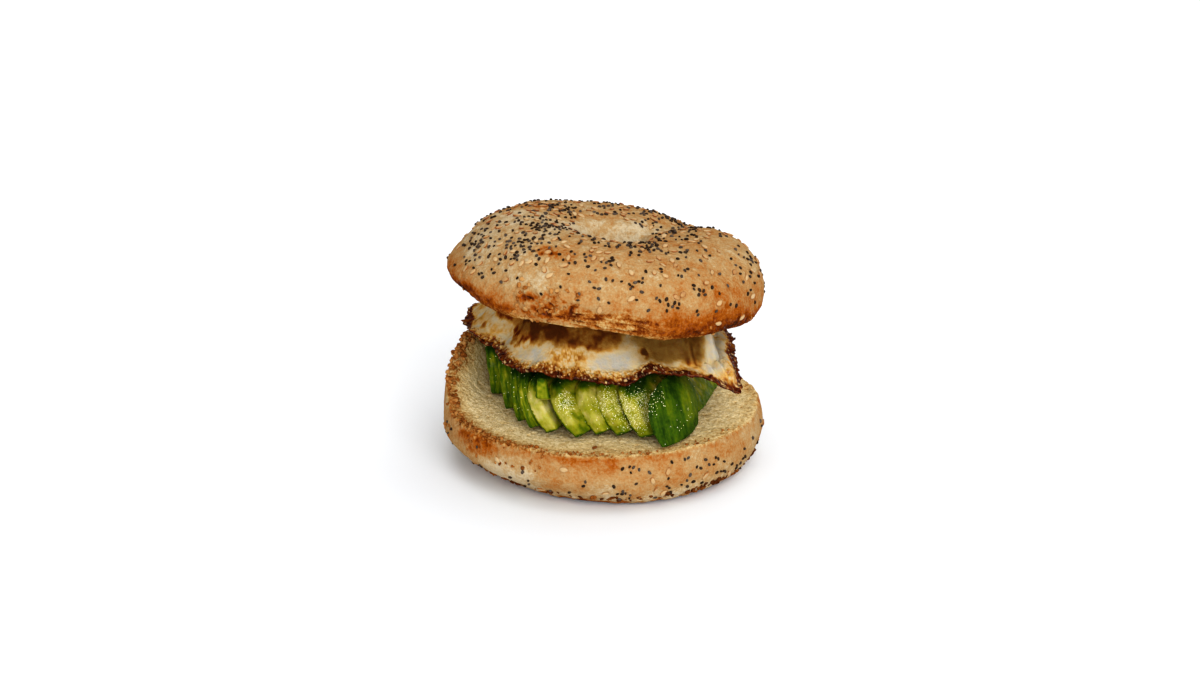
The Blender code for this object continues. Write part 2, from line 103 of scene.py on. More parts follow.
world = bpy.data.worlds.new("white_room")
world.use_nodes = True
world.node_tree.nodes["Background"].inputs["Color"].default_value = (1.0, 1.0, 1.0, 1.0)
world.node_tree.nodes["Background"].inputs["Strength"].default_value = WORLD_STRENGTH
bpy.context.scene.world = world
bpy.context.scene.view_settings.view_transform = "Standard"
bpy.context.scene.view_settings.look = "Medium High Contrast"
print("lamps:", ", ".join(LAMPS))

# %% [markdown]
# ## Values that turn into nodes
#
# A material is a sum of small effects: a base colour, more brown where it is toasted, a speckle on top.
# Written as node after node that is long and hard to read. The class below wraps one socket, so that
# `1 - mask` or `mask * 0.4 + speckle` adds the Math nodes by itself, and one method adds any other node.

# %% Sockets with sums
class Wire:
    """A socket of a material that can be used in sums."""

    def __init__(self, tree, socket=None):
        self.tree = tree
        self.socket = socket

    def node(self, kind, settings=None, inputs=None, output=0):
        """Add a node: first its settings, then its inputs by name or number. Gives one of its outputs."""
        made = self.tree.nodes.new(kind)
        for key, value in (settings or {}).items():
            if key == "stops":
                while len(made.color_ramp.elements) < len(value):
                    made.color_ramp.elements.new(1.0)
                for stop, (place, colour) in zip(made.color_ramp.elements, value):
                    stop.position = place
                    stop.color = (*colour, 1.0)
            else:
                setattr(made, key, value)
        for key, value in (inputs or {}).items():
            self.feed(made.inputs[key], value)
        return Wire(self.tree, made.outputs[output])

    def feed(self, socket, value):
        """Link a wire to a socket, or set the socket to a plain value."""
        if isinstance(value, Wire):
            self.tree.links.new(value.socket, socket)
        elif isinstance(value, tuple) and len(value) == 3 and len(socket.default_value) == 4:
            socket.default_value = (*value, 1.0)
        else:
            socket.default_value = value

    def maths(self, operation, first, second):
        return self.node("ShaderNodeMath", {"operation": operation}, {0: first, 1: second})

    def __add__(self, other):
        return self.maths("ADD", self, other)

    def __radd__(self, other):
        return self.maths("ADD", other, self)

    def __sub__(self, other):
        return self.maths("SUBTRACT", self, other)

    def __rsub__(self, other):
        return self.maths("SUBTRACT", other, self)

    def __mul__(self, other):
        return self.maths("MULTIPLY", self, other)

    def __rmul__(self, other):
        return self.maths("MULTIPLY", other, self)

    def ramp(self, *stops):
        """A colour that runs through the stops, each a place and a colour."""
        return self.node("ShaderNodeValToRGB", {"stops": stops}, {0: self})

    def between(self, low, high, start=0.0, end=1.0):
        """Stretch low to high over start to end, and keep it inside them."""
        return self.node("ShaderNodeMapRange", {"interpolation_type": "SMOOTHSTEP"},
                         {0: self, 1: low, 2: high, 3: start, 4: end})

    def mix(self, first, second):
        """The first colour where this value is 0 and the second where it is 1."""
        return self.node("ShaderNodeMix", {"data_type": "RGBA"}, {0: self, 6: first, 7: second}, 2)

    def mark(self, name):
        """A value that a mesh holds at each of its points."""
        return self.node("ShaderNodeAttribute", {"attribute_name": name}, {}, "Fac")

    def place(self):
        """Where a point of the object lies, in metres."""
        return self.node("ShaderNodeTexCoord", {}, {}, "Object")

    def speckle(self, grain, detail=2.0, rough=0.5):
        """Noise from 0 to 1 whose lumps are about one grain, in millimetres, wide."""
        return self.node("ShaderNodeTexNoise", {}, {
            "Vector": self.place(), "Scale": 1.0 / (grain * MM), "Detail": detail, "Roughness": rough})

    def bubbles(self, grain):
        """Cells about one grain wide: their distance grows from 0 at each middle."""
        return self.node("ShaderNodeTexVoronoi", {}, {
            "Vector": self.place(), "Scale": 1.0 / (grain * MM)}, "Distance")

    def bump(self, height, depth, below=None):
        """The normal of a surface with this height, whose relief is depth millimetres deep."""
        inputs = {"Height": height, "Distance": depth * MM, "Strength": 1.0}
        if below is not None:
            inputs["Normal"] = below
        return self.node("ShaderNodeBump", {}, inputs)


def start_material(name, roughness, **constants):
    """A material whose plain values are set on the shader itself, its shader, and a wire to begin with."""
    material = bpy.data.materials.new(name)
    material.use_nodes = True
    shader = material.node_tree.nodes["Principled BSDF"]
    shader.inputs["Roughness"].default_value = roughness
    for key, value in constants.items():
        shader.inputs[key.replace("_", " ").title().replace("Ior", "IOR")].default_value = value
    return material, shader, Wire(material.node_tree)


# %% [markdown]
# ## A pale floor
#
# Only the floor is not part of the food. It gets a very light speckle, so that it isn't a dead white, and
# round the food it is painted a little greyer and cooler: a painted soft shadow, set against the warm light
# that the bread throws on it.

# %% Floor
# In metres: half the floor's width, its drop below the bread, and the ring over which the painted
# shade round the food fades out.
FLOOR_SIZE = 12.0
FLOOR_DROP = 0.00005
FLOOR_SHADE_RING = (0.05, 0.11)
FLOOR_PAINTED_SHADE = (0.80, 0.825, 0.85)


def make_floor():
    material, shader, wire = start_material("floor_paint", 0.7, specular_ior_level=0.1)
    paint = wire.speckle(90.0).ramp((0.3, (0.83, 0.84, 0.855)), (0.7, (0.85, 0.86, 0.875)))
    away = wire.node("ShaderNodeVectorMath", {"operation": "LENGTH"}, {0: wire.place()}, "Value")
    # Round the food the floor turns to the painted shade.
    wire.feed(shader.inputs["Base Color"], away.between(*FLOOR_SHADE_RING).mix(FLOOR_PAINTED_SHADE, paint))
    square = ((-1.0, -1.0), (1.0, -1.0), (1.0, 1.0), (-1.0, 1.0))
    mesh = bpy.data.meshes.new("floor")
    mesh.from_pydata([(x * FLOOR_SIZE, y * FLOOR_SIZE, 0.0) for x, y in square], [], [(0, 1, 2, 3)])
    mesh.materials.append(material)
    floor = bpy.data.objects.new("floor", mesh)
    floor.location.z = -FLOOR_DROP
    bpy.context.scene.collection.objects.link(floor)
    print("floor, m:", 2.0 * FLOOR_SIZE)


make_floor()

# %% [markdown]
# ## Forms as fields of numbers
#
# Bread has no straight line in it. Every form below starts as a plain turned or swept shape, and then
# smooth steps, humps and noise move its points. Worked out for all points at once, with numpy, a mesh
# of a hundred thousand points takes about a second.

# %% Steps, humps and noise
def ease(start, end, value):
    """0 before start, 1 after end and a smooth change between them."""
    t = np.clip((value - start) / (end - start), 0.0, 1.0)
    return t * t * (3.0 - 2.0 * t)


def hump(value, middle, reach):
    """A round bump: 1 in the middle and 0 from its reach outwards."""
    return 0.5 + 0.5 * np.cos(np.pi * np.minimum(1.0, np.abs(value - middle) / reach))


def lobe(angle, centre, spread):
    """A round bump in an angle, in degrees."""
    return hump((angle - centre + 180.0) % 360.0 - 180.0, 0.0, spread)


def bearing(x, y):
    """The angle round the Z axis at which a point lies, in degrees."""
    return np.degrees(np.arctan2(y, x))


def near(points, place, reach):
    """1 at a place, 0 from its reach outwards. The reach is one length, or one along each axis."""
    return ease(1.0, 0.0, np.linalg.norm((points - np.array(place)) / np.array(reach), axis=1))


def rough(points, grain, seed=0.0):
    """Smooth noise from -1 to 1 whose lumps are about one grain wide."""
    moved = points / grain + np.array((seed, -seed, 2.0 * seed))
    return np.array([noise.noise(point) for point in moved.tolist()])


def cells(points, grain, seed=0.0):
    """Bubbles about one grain wide: distance from the middle, room to the next one, and a draw for each."""
    moved = points / grain + np.array((seed, -seed, 2.0 * seed))
    found = [noise.voronoi(point) for point in moved.tolist()]
    first = np.array([distances[0] for distances, _ in found])
    second = np.array([distances[1] for distances, _ in found])
    middle = np.array([places[0][:] for _, places in found])
    draw = np.modf(np.abs(np.sin(middle @ np.array((12.99, 78.23, 37.72))) * 437.58))[0]
    return first, second - first, draw


print("a step at a quarter and at half:", ease(0.0, 1.0, np.array((0.25, 0.5))).tolist())

# %% [markdown]
# ## Meshes from rings
#
# The bagel halves and the egg all close on themselves, so one helper is enough: it joins rings of
# points by quads and closes both ends with a fan. A second helper keeps a number at every point, such
# as how toasted it is, which the material reads later.

# %% Mesh helpers
def mesh_from_rings(name, rings, first, last):
    """Quads between closed rings of points, and a fan to one point at each end."""
    count, around = rings.shape[:2]
    points = np.vstack([rings.reshape(-1, 3), [first], [last]]) * MM
    here = np.arange(around)
    after = (here + 1) % around
    quads = [np.stack([a + here, a + around + here, a + around + after, a + after], axis=1)
             for a in range(0, (count - 1) * around, around)]
    top = count * around
    foot = (count - 1) * around
    fans = [(top, i, j) for i, j in zip(here.tolist(), after.tolist())]
    fans += [(top + 1, foot + j, foot + i) for i, j in zip(here.tolist(), after.tolist())]
    mesh = bpy.data.meshes.new(name)
    mesh.from_pydata(points.tolist(), [], np.vstack(quads).tolist() + fans)
    return mesh


def points_of(mesh):
    flat = np.empty(len(mesh.vertices) * 3, np.float32)
    mesh.vertices.foreach_get("co", flat)
    return flat.reshape(-1, 3).astype(float) / MM


def place_points(mesh, points):
    mesh.vertices.foreach_set("co", (points * MM).astype(np.float32).ravel())
    mesh.update()


def normals_of(mesh):
    flat = np.empty(len(mesh.vertices) * 3, np.float32)
    mesh.vertex_normals.foreach_get("vector", flat)
    return flat.reshape(-1, 3).astype(float)


def raise_skin(mesh, height):
    """Move each point outwards along its normal by a height."""
    place_points(mesh, points_of(mesh) + normals_of(mesh) * height[:, None])


def keep(mesh, **marks):
    """Hold a number for each point under each name."""
    for name, values in marks.items():
        attribute = mesh.attributes.new(name, "FLOAT", "POINT")
        attribute.data.foreach_set("value", np.asarray(values, np.float32))


def add_piece(name, mesh, material, slot, *replaced):
    mesh.materials.append(material)
    mesh.shade_smooth()
    piece = bpy.data.objects.new(name, mesh)
    bpy.context.scene.collection.objects.link(piece)
    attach(piece, "root")
    if replaced:
        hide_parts(*replaced)
    print(name, "triangles:", sum(len(face.vertices) - 2 for face in mesh.polygons))
    return piece


def curve_at(a, b, c, d, u):
    """The point at a share u of the way from b to c on a smooth curve through four points."""
    return 0.5 * (2.0 * b + (c - a) * u + (2.0 * a - 5.0 * b + 4.0 * c - d) * u * u
                  + (3.0 * b - a - 3.0 * c + d) * u ** 3)


def smooth_line(corners, gap):
    """A smooth line through the corners, with a point about every gap."""
    corners = np.array(corners, float)
    corners = np.vstack([2.0 * corners[0] - corners[1], corners, 2.0 * corners[-1] - corners[-2]])
    spans = zip(corners, corners[1:], corners[2:], corners[3:])
    fine = [curve_at(*span, u) for span in spans for u in np.arange(0.0, 1.0, 0.05)]
    fine = np.array(fine + [corners[-2]])
    run = np.concatenate([[0.0], np.cumsum(np.linalg.norm(np.diff(fine, axis=0), axis=1))])
    want = np.linspace(0.0, run[-1], int(round(run[-1] / gap)) + 1)
    return np.stack([np.interp(want, run, fine[:, axis]) for axis in range(fine.shape[1])], axis=1)


def turned(line, around):
    """Turn a line of (radius, height) points round the Z axis, once."""
    angle = np.arange(around) * 2.0 * np.pi / around
    radius = line[:, 0][:, None]
    height = np.repeat(line[:, 1][:, None], around, axis=1)
    return np.stack([radius * np.cos(angle), radius * np.sin(angle), height], axis=2)


# %% [markdown]
# ## Form of the top half
#
# A bagel is a ring of dough whose hole almost closes in the oven, so the top half is a turned dome with
# a dimple. The same sizes as in the solid give the same form here. The left side is plumper, a crease
# runs from the dimple to the right, and the lower rim waves a little where the knife went through.

# %% Sizes of the top half
AXIS = np.array((1.0, 2.0, 0.0))
RIM_RADIUS = 52.0
WIDE_RADIUS = 54.4
WIDE_HEIGHT = 6.5
CREST_RADIUS = 26.5
CREST_HEIGHT = 24.0
DIMPLE_RADIUS = 6.0
DIMPLE_MOUTH_RADIUS = 14.0
DIMPLE_MOUTH_HEIGHT = 22.3
DIMPLE_HEIGHT = 11.5
DIMPLE_BOWL = 0.8
DIMPLE_SHIFT = (1.0, -5.0)
DOME_FULLNESS = 0.92
TOP_LIFT = 59.0
TOP_ROLL = 7.07
TOP_PITCH = -3.38
CREASE_ANGLE = 38.0
CREASE_DEPTH = 2.8
RIM_WAVES = ((0.9, -48.0, 10.0), (-1.0, -32.0, 15.0), (0.6, -3.0, 14.0),
             (-1.2, 19.0, 12.0), (-0.6, 31.0, 8.0), (0.5, 40.0, 9.0))
SKIN_GAP = 0.52
TOP_AROUND = 520


def top_line():
    """Crust from the floor of the dimple over the crest to the rim, then the cut to its middle."""
    floor_edge = DIMPLE_HEIGHT + DIMPLE_BOWL
    crust = [(0.4, DIMPLE_HEIGHT), (DIMPLE_RADIUS * 0.6, DIMPLE_HEIGHT + 0.6 * DIMPLE_BOWL)]
    for share in np.linspace(0.25, 1.0, 4):
        radius = DIMPLE_RADIUS + (DIMPLE_MOUTH_RADIUS - DIMPLE_RADIUS) * share
        climb = 0.5 - 0.5 * math.cos(math.pi * share)
        crust.append((radius, floor_edge + (DIMPLE_MOUTH_HEIGHT - floor_edge) * climb))
    crust.append((0.5 * (DIMPLE_MOUTH_RADIUS + CREST_RADIUS), CREST_HEIGHT - 0.4))
    crust.append((CREST_RADIUS, CREST_HEIGHT))
    for turn in np.linspace(0.125, 1.0, 8) * 0.5 * math.pi:
        radius = CREST_RADIUS + (WIDE_RADIUS - CREST_RADIUS) * math.sin(turn) ** DOME_FULLNESS
        climb = max(0.0, math.cos(turn)) ** DOME_FULLNESS
        crust.append((radius, WIDE_HEIGHT + (CREST_HEIGHT - WIDE_HEIGHT) * climb))
    crust += [(WIDE_RADIUS - 0.2, 4.0), (RIM_RADIUS + 1.2, 1.6), (RIM_RADIUS, 0.1)]
    cut = np.stack([np.append(np.linspace(RIM_RADIUS - 0.6, 44.0, 14), (38.0, 30.0, 20.0, 8.0)),
                    np.zeros(18)], axis=1)
    return np.vstack([smooth_line(crust, SKIN_GAP), cut])


def shape_top(p):
    """The plumper left side, the crease, the rim's waves and the lumps of the top half."""
    x, y, z = p.T
    radius = np.hypot(x, y)
    angle = bearing(x, y)
    height = z / CREST_HEIGHT
    crust = ease(0.02, 0.3, height)
    slope = 5.0 * lobe(angle, 185.0, 75.0) * ease(0.15, 0.58, height) * ease(24.0, 44.0, radius)
    shoulder = 1.9 * lobe(angle, -2.0, 46.0) * ease(22.0, 38.0, radius)
    crease = CREASE_DEPTH * lobe(angle, CREASE_ANGLE, 26.0)
    crease *= ease(6.0, 20.0, radius) * ease(52.0, 40.0, radius)
    lumps = 0.8 * rough(p, 17.0, 2.3) + 0.3 * rough(p, 5.0, 8.1)
    wave = sum(rise * hump(x, middle, width) for rise, middle, width in RIM_WAVES)
    wave *= ease(38.0, 51.0, radius) * ease(0.45, 0.1, height)
    tear = 0.9 * lobe(angle, -97.0, 34.0) * ease(0.42, 0.25, height) * ease(0.03, 0.2, height)
    ragged = 0.5 * rough(p, 2.8, 6.6) * ease(49.0, 52.0, radius) * ease(0.3, 0.0, height)
    inward = ease(34.0, 14.0, radius)
    grow = 1.0 + (0.6 * lumps * crust - slope - tear + ragged) / np.maximum(radius, 1.0)
    z = z + wave + crust * (0.5 * lumps + shoulder * ease(0.3, 0.7, height) - crease * ease(0.3, 0.8, height))
    return np.stack([x * grow + DIMPLE_SHIFT[0] * inward, y * grow + DIMPLE_SHIFT[1] * inward, z], axis=1)


def top_placement():
    """The top half rests on the egg, lower at its right and at its back. The matrix is in millimetres."""
    lift = Matrix.Translation(Vector(AXIS) + Vector((0.0, 0.0, TOP_LIFT)))
    roll = Matrix.Rotation(math.radians(TOP_ROLL), 4, "Y")
    return np.array(lift @ roll @ Matrix.Rotation(math.radians(TOP_PITCH), 4, "X"))


def moved(points, matrix):
    return points @ matrix[:3, :3].T + matrix[:3, 3]


print("points in the line of the top half:", len(top_line()))

# %% [markdown]
# ## Crust of the top half
#
# Boiled and baked dough has a thin skin. It is almost smooth on the dome, blisters where it stood in the
# steam near the rim, browns where the ring is lowest, and has torn open at the front where a neighbour
# stuck to it. Each of these is a zone, by angle round the bagel and by height, that raises the skin and
# leaves a mark from which the finish is mixed.

# %% Crust of the top half
BLISTER_ANGLE = -52.0
TORN_ANGLE = -88.0
FLAKY_ANGLE = -111.0
SCORCH_PLACE = (-20.5, -38.6, 20.7)


def top_zones(p):
    """Where the crust of the top half is blistered, torn, flaky and scorched, from 0 to 1."""
    x, y, z = p.T
    angle = bearing(x, y)
    wander = 2.2 * rough(p, 6.0, 11.0) + 1.5 * rough(p, 2.2, 12.0) + 0.8 * rough(p, 0.9, 13.0)
    torn = ease(0.1, 0.6, lobe(angle + 2.5 * wander, TORN_ANGLE, 30.0) * hump(z + 0.9 * wander, 3.4, 6.0))
    flaky = ease(0.15, 0.5, lobe(angle + 2.0 * wander, FLAKY_ANGLE, 19.0) * hump(z + 0.8 * wander, 6.3, 7.0))
    blistered = lobe(angle, BLISTER_ANGLE, 52.0) * ease(13.5, 4.0, z + wander)
    scorched = near(p + 0.5 * wander[:, None], SCORCH_PLACE, (10.0, 8.0, 2.6))
    return SimpleNamespace(torn=torn, flaky=flaky, blistered=blistered, scorched=scorched)


def top_toast(p, zones):
    """How brown the crust is: 0 is cream, 0.5 is orange brown and 1 is almost black."""
    x, y, z = p.T
    angle = bearing(x, y)
    toast = 0.31 + 0.12 * rough(p, 15.0, 21.0) + 0.09 * rough(p, 5.0, 22.0) + 0.05 * rough(p, 2.0, 23.0)
    toast += 0.40 * lobe(angle, -44.0, 66.0) * ease(11.0, 2.5, z + 2.2 * rough(p, 8.0, 24.0))
    toast += 0.14 * lobe(angle, -40.0, 60.0) * ease(20.0, 9.0, z)
    toast += 0.50 * lobe(angle, -152.0, 52.0) ** 0.7 * ease(6.5, 1.8, z + 1.8 * rough(p, 7.0, 25.0))
    toast += 0.09 * lobe(angle, 180.0, 60.0) * ease(14.0, 2.0, z)
    toast += 0.22 * lobe(angle, 40.0, 110.0) * ease(9.0, 0.0, z)
    toast += 0.20 * near(p, (-26.6, 16.6, 23.7), (13.0, 8.0, 8.0))
    toast += 0.34 * zones.flaky * ease(-0.2, 0.25, rough(p, 2.2, 26.0))
    strips = rough(p * np.array((0.35, 0.35, 1.6)), 1.5, 28.0)
    toast += zones.torn * (0.20 * ease(0.0, 0.45, strips) - 0.02)
    toast += zones.scorched * (0.26 + 0.30 * ease(-0.2, 0.3, rough(p, 1.9, 27.0)))
    toast -= 0.50 * hump(np.hypot(x - DIMPLE_SHIFT[0], y - DIMPLE_SHIFT[1]), 0.0, 20.0)
    toast -= 0.20 * near(p, (12.0, 8.0, 22.2), (17.0, 10.0, 9.0))
    toast -= 0.20 * lobe(angle, -158.0, 70.0) * ease(7.0, 13.0, z)
    return np.clip(toast, 0.02, 1.0)


# %% [markdown]
# ## Relief of the top half
#
# Blisters are round domes of two sizes, flakes are thin plates that stand up, and torn skin shows the
# layers below it. What stands up in the heat browns first, so the blisters and flakes are a little browner
# than the skin round them. The flat cut only gets the grain and the pores of the crumb.

# %% Relief of the top half
def top_relief(p, zones, crust):
    """How far the skin stands out, in millimetres, and how much browner its blisters and flakes are."""
    whole = 1.0 - zones.torn
    bubble, _, draw = cells(p, 2.1, 31.0)
    dome = ease(0.62, 0.1, bubble) * ease(0.35, 0.6, draw)
    fine, _, fine_draw = cells(p, 1.05, 34.0)
    fine_dome = ease(0.6, 0.1, fine) * ease(0.3, 0.6, fine_draw)
    height = 0.24 * rough(p, 3.4, 32.0) + 0.18 * rough(p, 1.3, 33.0)
    height += 0.5 * dome * np.maximum(0.18, np.maximum(zones.blistered, 0.8 * zones.flaky)) * whole
    height += 0.38 * fine_dome * zones.blistered * whole
    plates = ease(0.0, 0.07, rough(p, 3.2, 35.0)) + 0.7 * ease(0.1, 0.16, rough(p, 1.7, 36.0))
    height += 0.8 * zones.flaky * (plates - 0.6 + 0.5 * rough(p, 1.2, 42.0))
    layers = rough(p * np.array((0.3, 0.3, 1.7)), 1.3, 37.0)
    height += zones.torn * (-0.5 + 1.1 * layers + 0.5 * rough(p, 1.1, 38.0))
    height += 0.7 * zones.scorched * rough(p, 1.6, 39.0)
    pores = ease(0.3, 0.08, cells(p, 1.5, 40.0)[0])
    height = crust * height + (1.0 - crust) * (0.12 * rough(p, 1.2, 41.0) - 0.3 * pores)
    browned = 0.4 * (0.5 * dome + 0.38 * fine_dome) * zones.blistered * whole
    return height, browned + 0.55 * zones.flaky * np.maximum(height, 0.0)


def make_top():
    rings = turned(top_line(), TOP_AROUND)
    mesh = mesh_from_rings("bagel_top_crust", rings, (0.0, 0.0, DIMPLE_HEIGHT), (0.0, 0.0, 0.0))
    p = shape_top(points_of(mesh))
    place_points(mesh, p)
    zones = top_zones(p)
    crust = ease(0.0, 1.2, p[:, 2])
    height, browned = top_relief(p, zones, crust)
    raise_skin(mesh, height)
    keep(mesh, toast=np.clip(top_toast(p, zones) + browned, 0.0, 1.0),
         torn=np.maximum(0.6 * zones.torn, 1.0 - crust), relief=height)
    place_points(mesh, moved(points_of(mesh), top_placement()))
    return mesh


# %% [markdown]
# ## Finish of the crust
#
# Crust goes from cream through gold and orange brown to almost black as it bakes, so one number is
# enough to mix it: the toast value of each point, made uneven by two grains of noise. The relief makes
# raised places lighter and low places and pores darker, as painted highlight and painted shade. Where
# the skin is torn the pale crumb shows. A crust that is boiled first has a faint gloss where it browned,
# in small patches.

# %% Crust finish
CREAM = (0.51, 0.41, 0.265)
GOLD = (0.41, 0.265, 0.12)
TAN = (0.37, 0.182, 0.060)
ORANGE = (0.31, 0.082, 0.006)
BROWN = (0.14, 0.026, 0.002)
CHAR = (0.03, 0.009, 0.004)
PALE_CRUMB = (0.82, 0.67, 0.39)
CRUMB = (0.70, 0.53, 0.26)
GOLD_CRUMB = (0.52, 0.34, 0.13)
RUSTY_CRUMB = (0.36, 0.15, 0.03)


def crust_finish(name):
    material, shader, wire = start_material(name, 0.7, specular_ior_level=0.0, coat_roughness=0.2)
    patches = wire.speckle(3.4, 6.0, 0.68) - 0.5
    freckles = wire.speckle(0.85, 3.0, 0.7) - 0.5
    # Raised places lighter and low places darker: painted highlight and painted shade.
    toast = wire.mark("toast") + patches * 0.42 + freckles * 0.52 - wire.mark("relief") * 0.5
    skin = toast.ramp((0.0, CREAM), (0.2, GOLD), (0.40, TAN), (0.60, ORANGE), (0.82, BROWN), (1.0, CHAR))
    # In the crumb too, the relief adds painted shade to low places and pores and painted highlight to raised
    # ones.
    baked = wire.mark("toast") + 0.12 + patches * 0.5 + freckles * 1.2 - wire.mark("relief") * 0.4
    crumb = baked.ramp((0.0, PALE_CRUMB), (0.18, CRUMB), (0.42, GOLD_CRUMB), (0.66, RUSTY_CRUMB),
                       (0.95, BROWN))
    torn = wire.mark("torn")
    wire.feed(shader.inputs["Base Color"], torn.mix(skin, crumb))
    grain = wire.bump(wire.speckle(1.1, 4.0, 0.65), 0.75)
    wire.feed(shader.inputs["Normal"], wire.bump(wire.bubbles(0.6), 0.08, grain))
    wire.feed(shader.inputs["Roughness"], toast.between(0.2, 0.6, 0.75, 0.42) + torn * 0.3)
    glaze = toast.between(0.4, 0.6, 0.0, 0.3) * wire.speckle(0.9).between(0.56, 0.64)
    wire.feed(shader.inputs["Coat Weight"], glaze * (1.0 - torn))
    return material


top_finish = crust_finish("top_crust_finish")
top_crust = add_piece("bagel_top_crust", make_top(), top_finish, "top_crust", "bagel_top")

# %% [markdown]
# ## Form of the bottom half
#
# The bottom half lies flat on the table. It bulges at half its height and was sliced unevenly: at the
# left back a lip of bread stands up to twice the height of the front. The cut is as wide as the crust.

# %% Sizes of the bottom half
BASE_RADIUS = 45.0
BASE_WIDE_RADIUS = 55.5
BASE_WIDE_HEIGHT = 12.5
BASE_UNDERCUT = 0.14
BASE_UNDERCUT_ANGLE = -142.0
CUT_RADIUS = 54.0
CUT_HEIGHT = 20.0
LIP_HEIGHT = 17.0
LIP_ANGLE = 146.0
LIP_SPREAD = 58.0
LIP_FOOT_RADIUS = 41.0
BASE_AROUND = 540


def bottom_line():
    """The cut from its middle to the rim, the bulging side and the flat underside."""
    radii = np.append((6.0, 14.0, 22.0, 28.0), np.arange(31.0, CUT_RADIUS - 0.4, 0.5))
    cut = [(radius, CUT_HEIGHT) for radius in radii]
    side = [(CUT_RADIUS, CUT_HEIGHT - 0.4), (CUT_RADIUS + 0.9, CUT_HEIGHT - 2.6)]
    for turn in np.linspace(1.0, 0.0, 6) * 0.5 * math.pi:
        side.append((BASE_RADIUS + (BASE_WIDE_RADIUS - BASE_RADIUS) * math.sin(turn),
                     BASE_WIDE_HEIGHT * (1.0 - math.cos(turn))))
    under = [(radius, 0.0) for radius in (44.0, 41.0, 36.0, 28.0, 16.0, 6.0)]
    return np.vstack([cut, smooth_line(side, SKIN_GAP), under])


def shape_bottom(p):
    """The lip, the uneven cut and the lumpy side of the bottom half; its underside stays flat."""
    x, y, z = p.T
    flat = p * np.array((1.0, 1.0, 0.0))
    radius = np.hypot(x, y)
    angle = bearing(x, y)
    height = z / CUT_HEIGHT
    lip = LIP_HEIGHT * lobe(angle, LIP_ANGLE, LIP_SPREAD)
    lift = lip * ease(LIP_FOOT_RADIUS, CUT_RADIUS - 0.5, radius) * ease(0.35, 1.0, height)
    uneven = 0.35 * rough(flat, 13.0, 3.1) * ease(0.9, 1.0, height)
    side = 0.7 * rough(p, 15.0, 1.7) * ease(0.05, 0.4, height) * ease(40.0, 52.0, radius)
    ragged = 0.55 * rough(p, 3.2, 5.3) * ease(0.8, 1.0, height) * ease(50.0, 54.0, radius)
    flatter_back = 2.6 * lobe(angle, 55.0, 50.0) * ease(30.0, 54.0, radius)
    undercut = BASE_UNDERCUT * lobe(angle, BASE_UNDERCUT_ANGLE, 85.0) * ease(0.62, 0.0, height)
    grow = 1.0 - undercut + (side + ragged - flatter_back) / np.maximum(radius, 1.0)
    z = z + lift + uneven + 0.5 * ragged * ease(0.9, 1.0, height)
    return np.stack([x * grow, y * grow, z], axis=1)


print("points in the line of the bottom half:", len(bottom_line()))

# %% [markdown]
# ## Relief of the bottom half
#
# The cut was toasted. Its crumb is a fine sponge: many pores under a millimetre and a few large ones.
# Outside it is plain crust again, flaky close to the table. Both are worked out for every point, and a
# zone for each decides how much of it shows.

# %% Relief of the bottom half
def bottom_zones(p, raw):
    """The parts of the bottom half, each from 0 to 1, the angle and radius of a point, and its streaks."""
    x, y, z = p.T
    angle = bearing(x, y)
    radius = np.hypot(*raw.T[:2])
    cut = ease(CUT_HEIGHT - 0.9, CUT_HEIGHT - 0.1, raw[:, 2])
    cut *= ease(CUT_RADIUS + 0.5, CUT_RADIUS - 0.6, radius)
    rim = ease(CUT_RADIUS - 3.5, CUT_RADIUS - 0.5, radius)
    rim *= ease(CUT_HEIGHT - 3.0, CUT_HEIGHT - 0.5, raw[:, 2])
    blistered = ease(0.2, 0.6, lobe(angle, -142.0, 26.0) * hump(z, 16.5, 5.0) + 0.3 * rough(p, 4.0, 57.0))
    return SimpleNamespace(angle=angle, radius=radius, cut=cut, side=1.0 - cut, rim=rim, blistered=blistered,
                           under=ease(1.2, 0.2, z), lip=lobe(angle, LIP_ANGLE, LIP_SPREAD),
                           streaks=rough(p * np.array((1.0, 1.0, 0.25)), 1.5, 45.0))


def bottom_relief(p, zones):
    """How far the crumb, its ragged rim and the crust stand out, in millimetres."""
    small, _, small_draw = cells(p, 1.3, 51.0)
    large, _, large_draw = cells(p, 3.4, 52.0)
    crumb = 0.28 * rough(p, 1.1, 53.0) + 0.2 * rough(p, 3.0, 54.0)
    crumb -= 0.5 * ease(0.42, 0.08, small) * ease(0.3, 0.6, small_draw)
    crumb -= 0.65 * ease(0.34, 0.05, large) * ease(0.6, 0.75, large_draw)
    torn_lip = 1.1 * ease(0.0, 0.5, zones.lip) * rough(p, 2.4, 56.0)
    ragged = zones.rim * (0.45 * rough(p, 1.3, 55.0) + torn_lip)
    foot_flakes = ease(5.5, 1.5, p[:, 2] + 1.2 * rough(p, 5.0, 58.0))
    bubble, _, bubble_draw = cells(p, 2.0, 59.0)
    crust = 0.10 * rough(p, 2.2, 60.0) + 0.06 * rough(p, 1.0, 61.0) + 0.14 * zones.streaks
    crust += 0.3 * ease(0.6, 0.1, bubble) * ease(0.4, 0.7, bubble_draw) * np.maximum(0.12, zones.blistered)
    crust += 0.4 * foot_flakes * (ease(0.0, 0.08, rough(p, 3.4, 62.0)) - 0.5)
    crust += 0.4 * zones.blistered * rough(p, 2.6, 63.0)
    above = 1.0 - zones.under
    return (zones.cut * crumb + zones.side * crust * above + ragged) * above
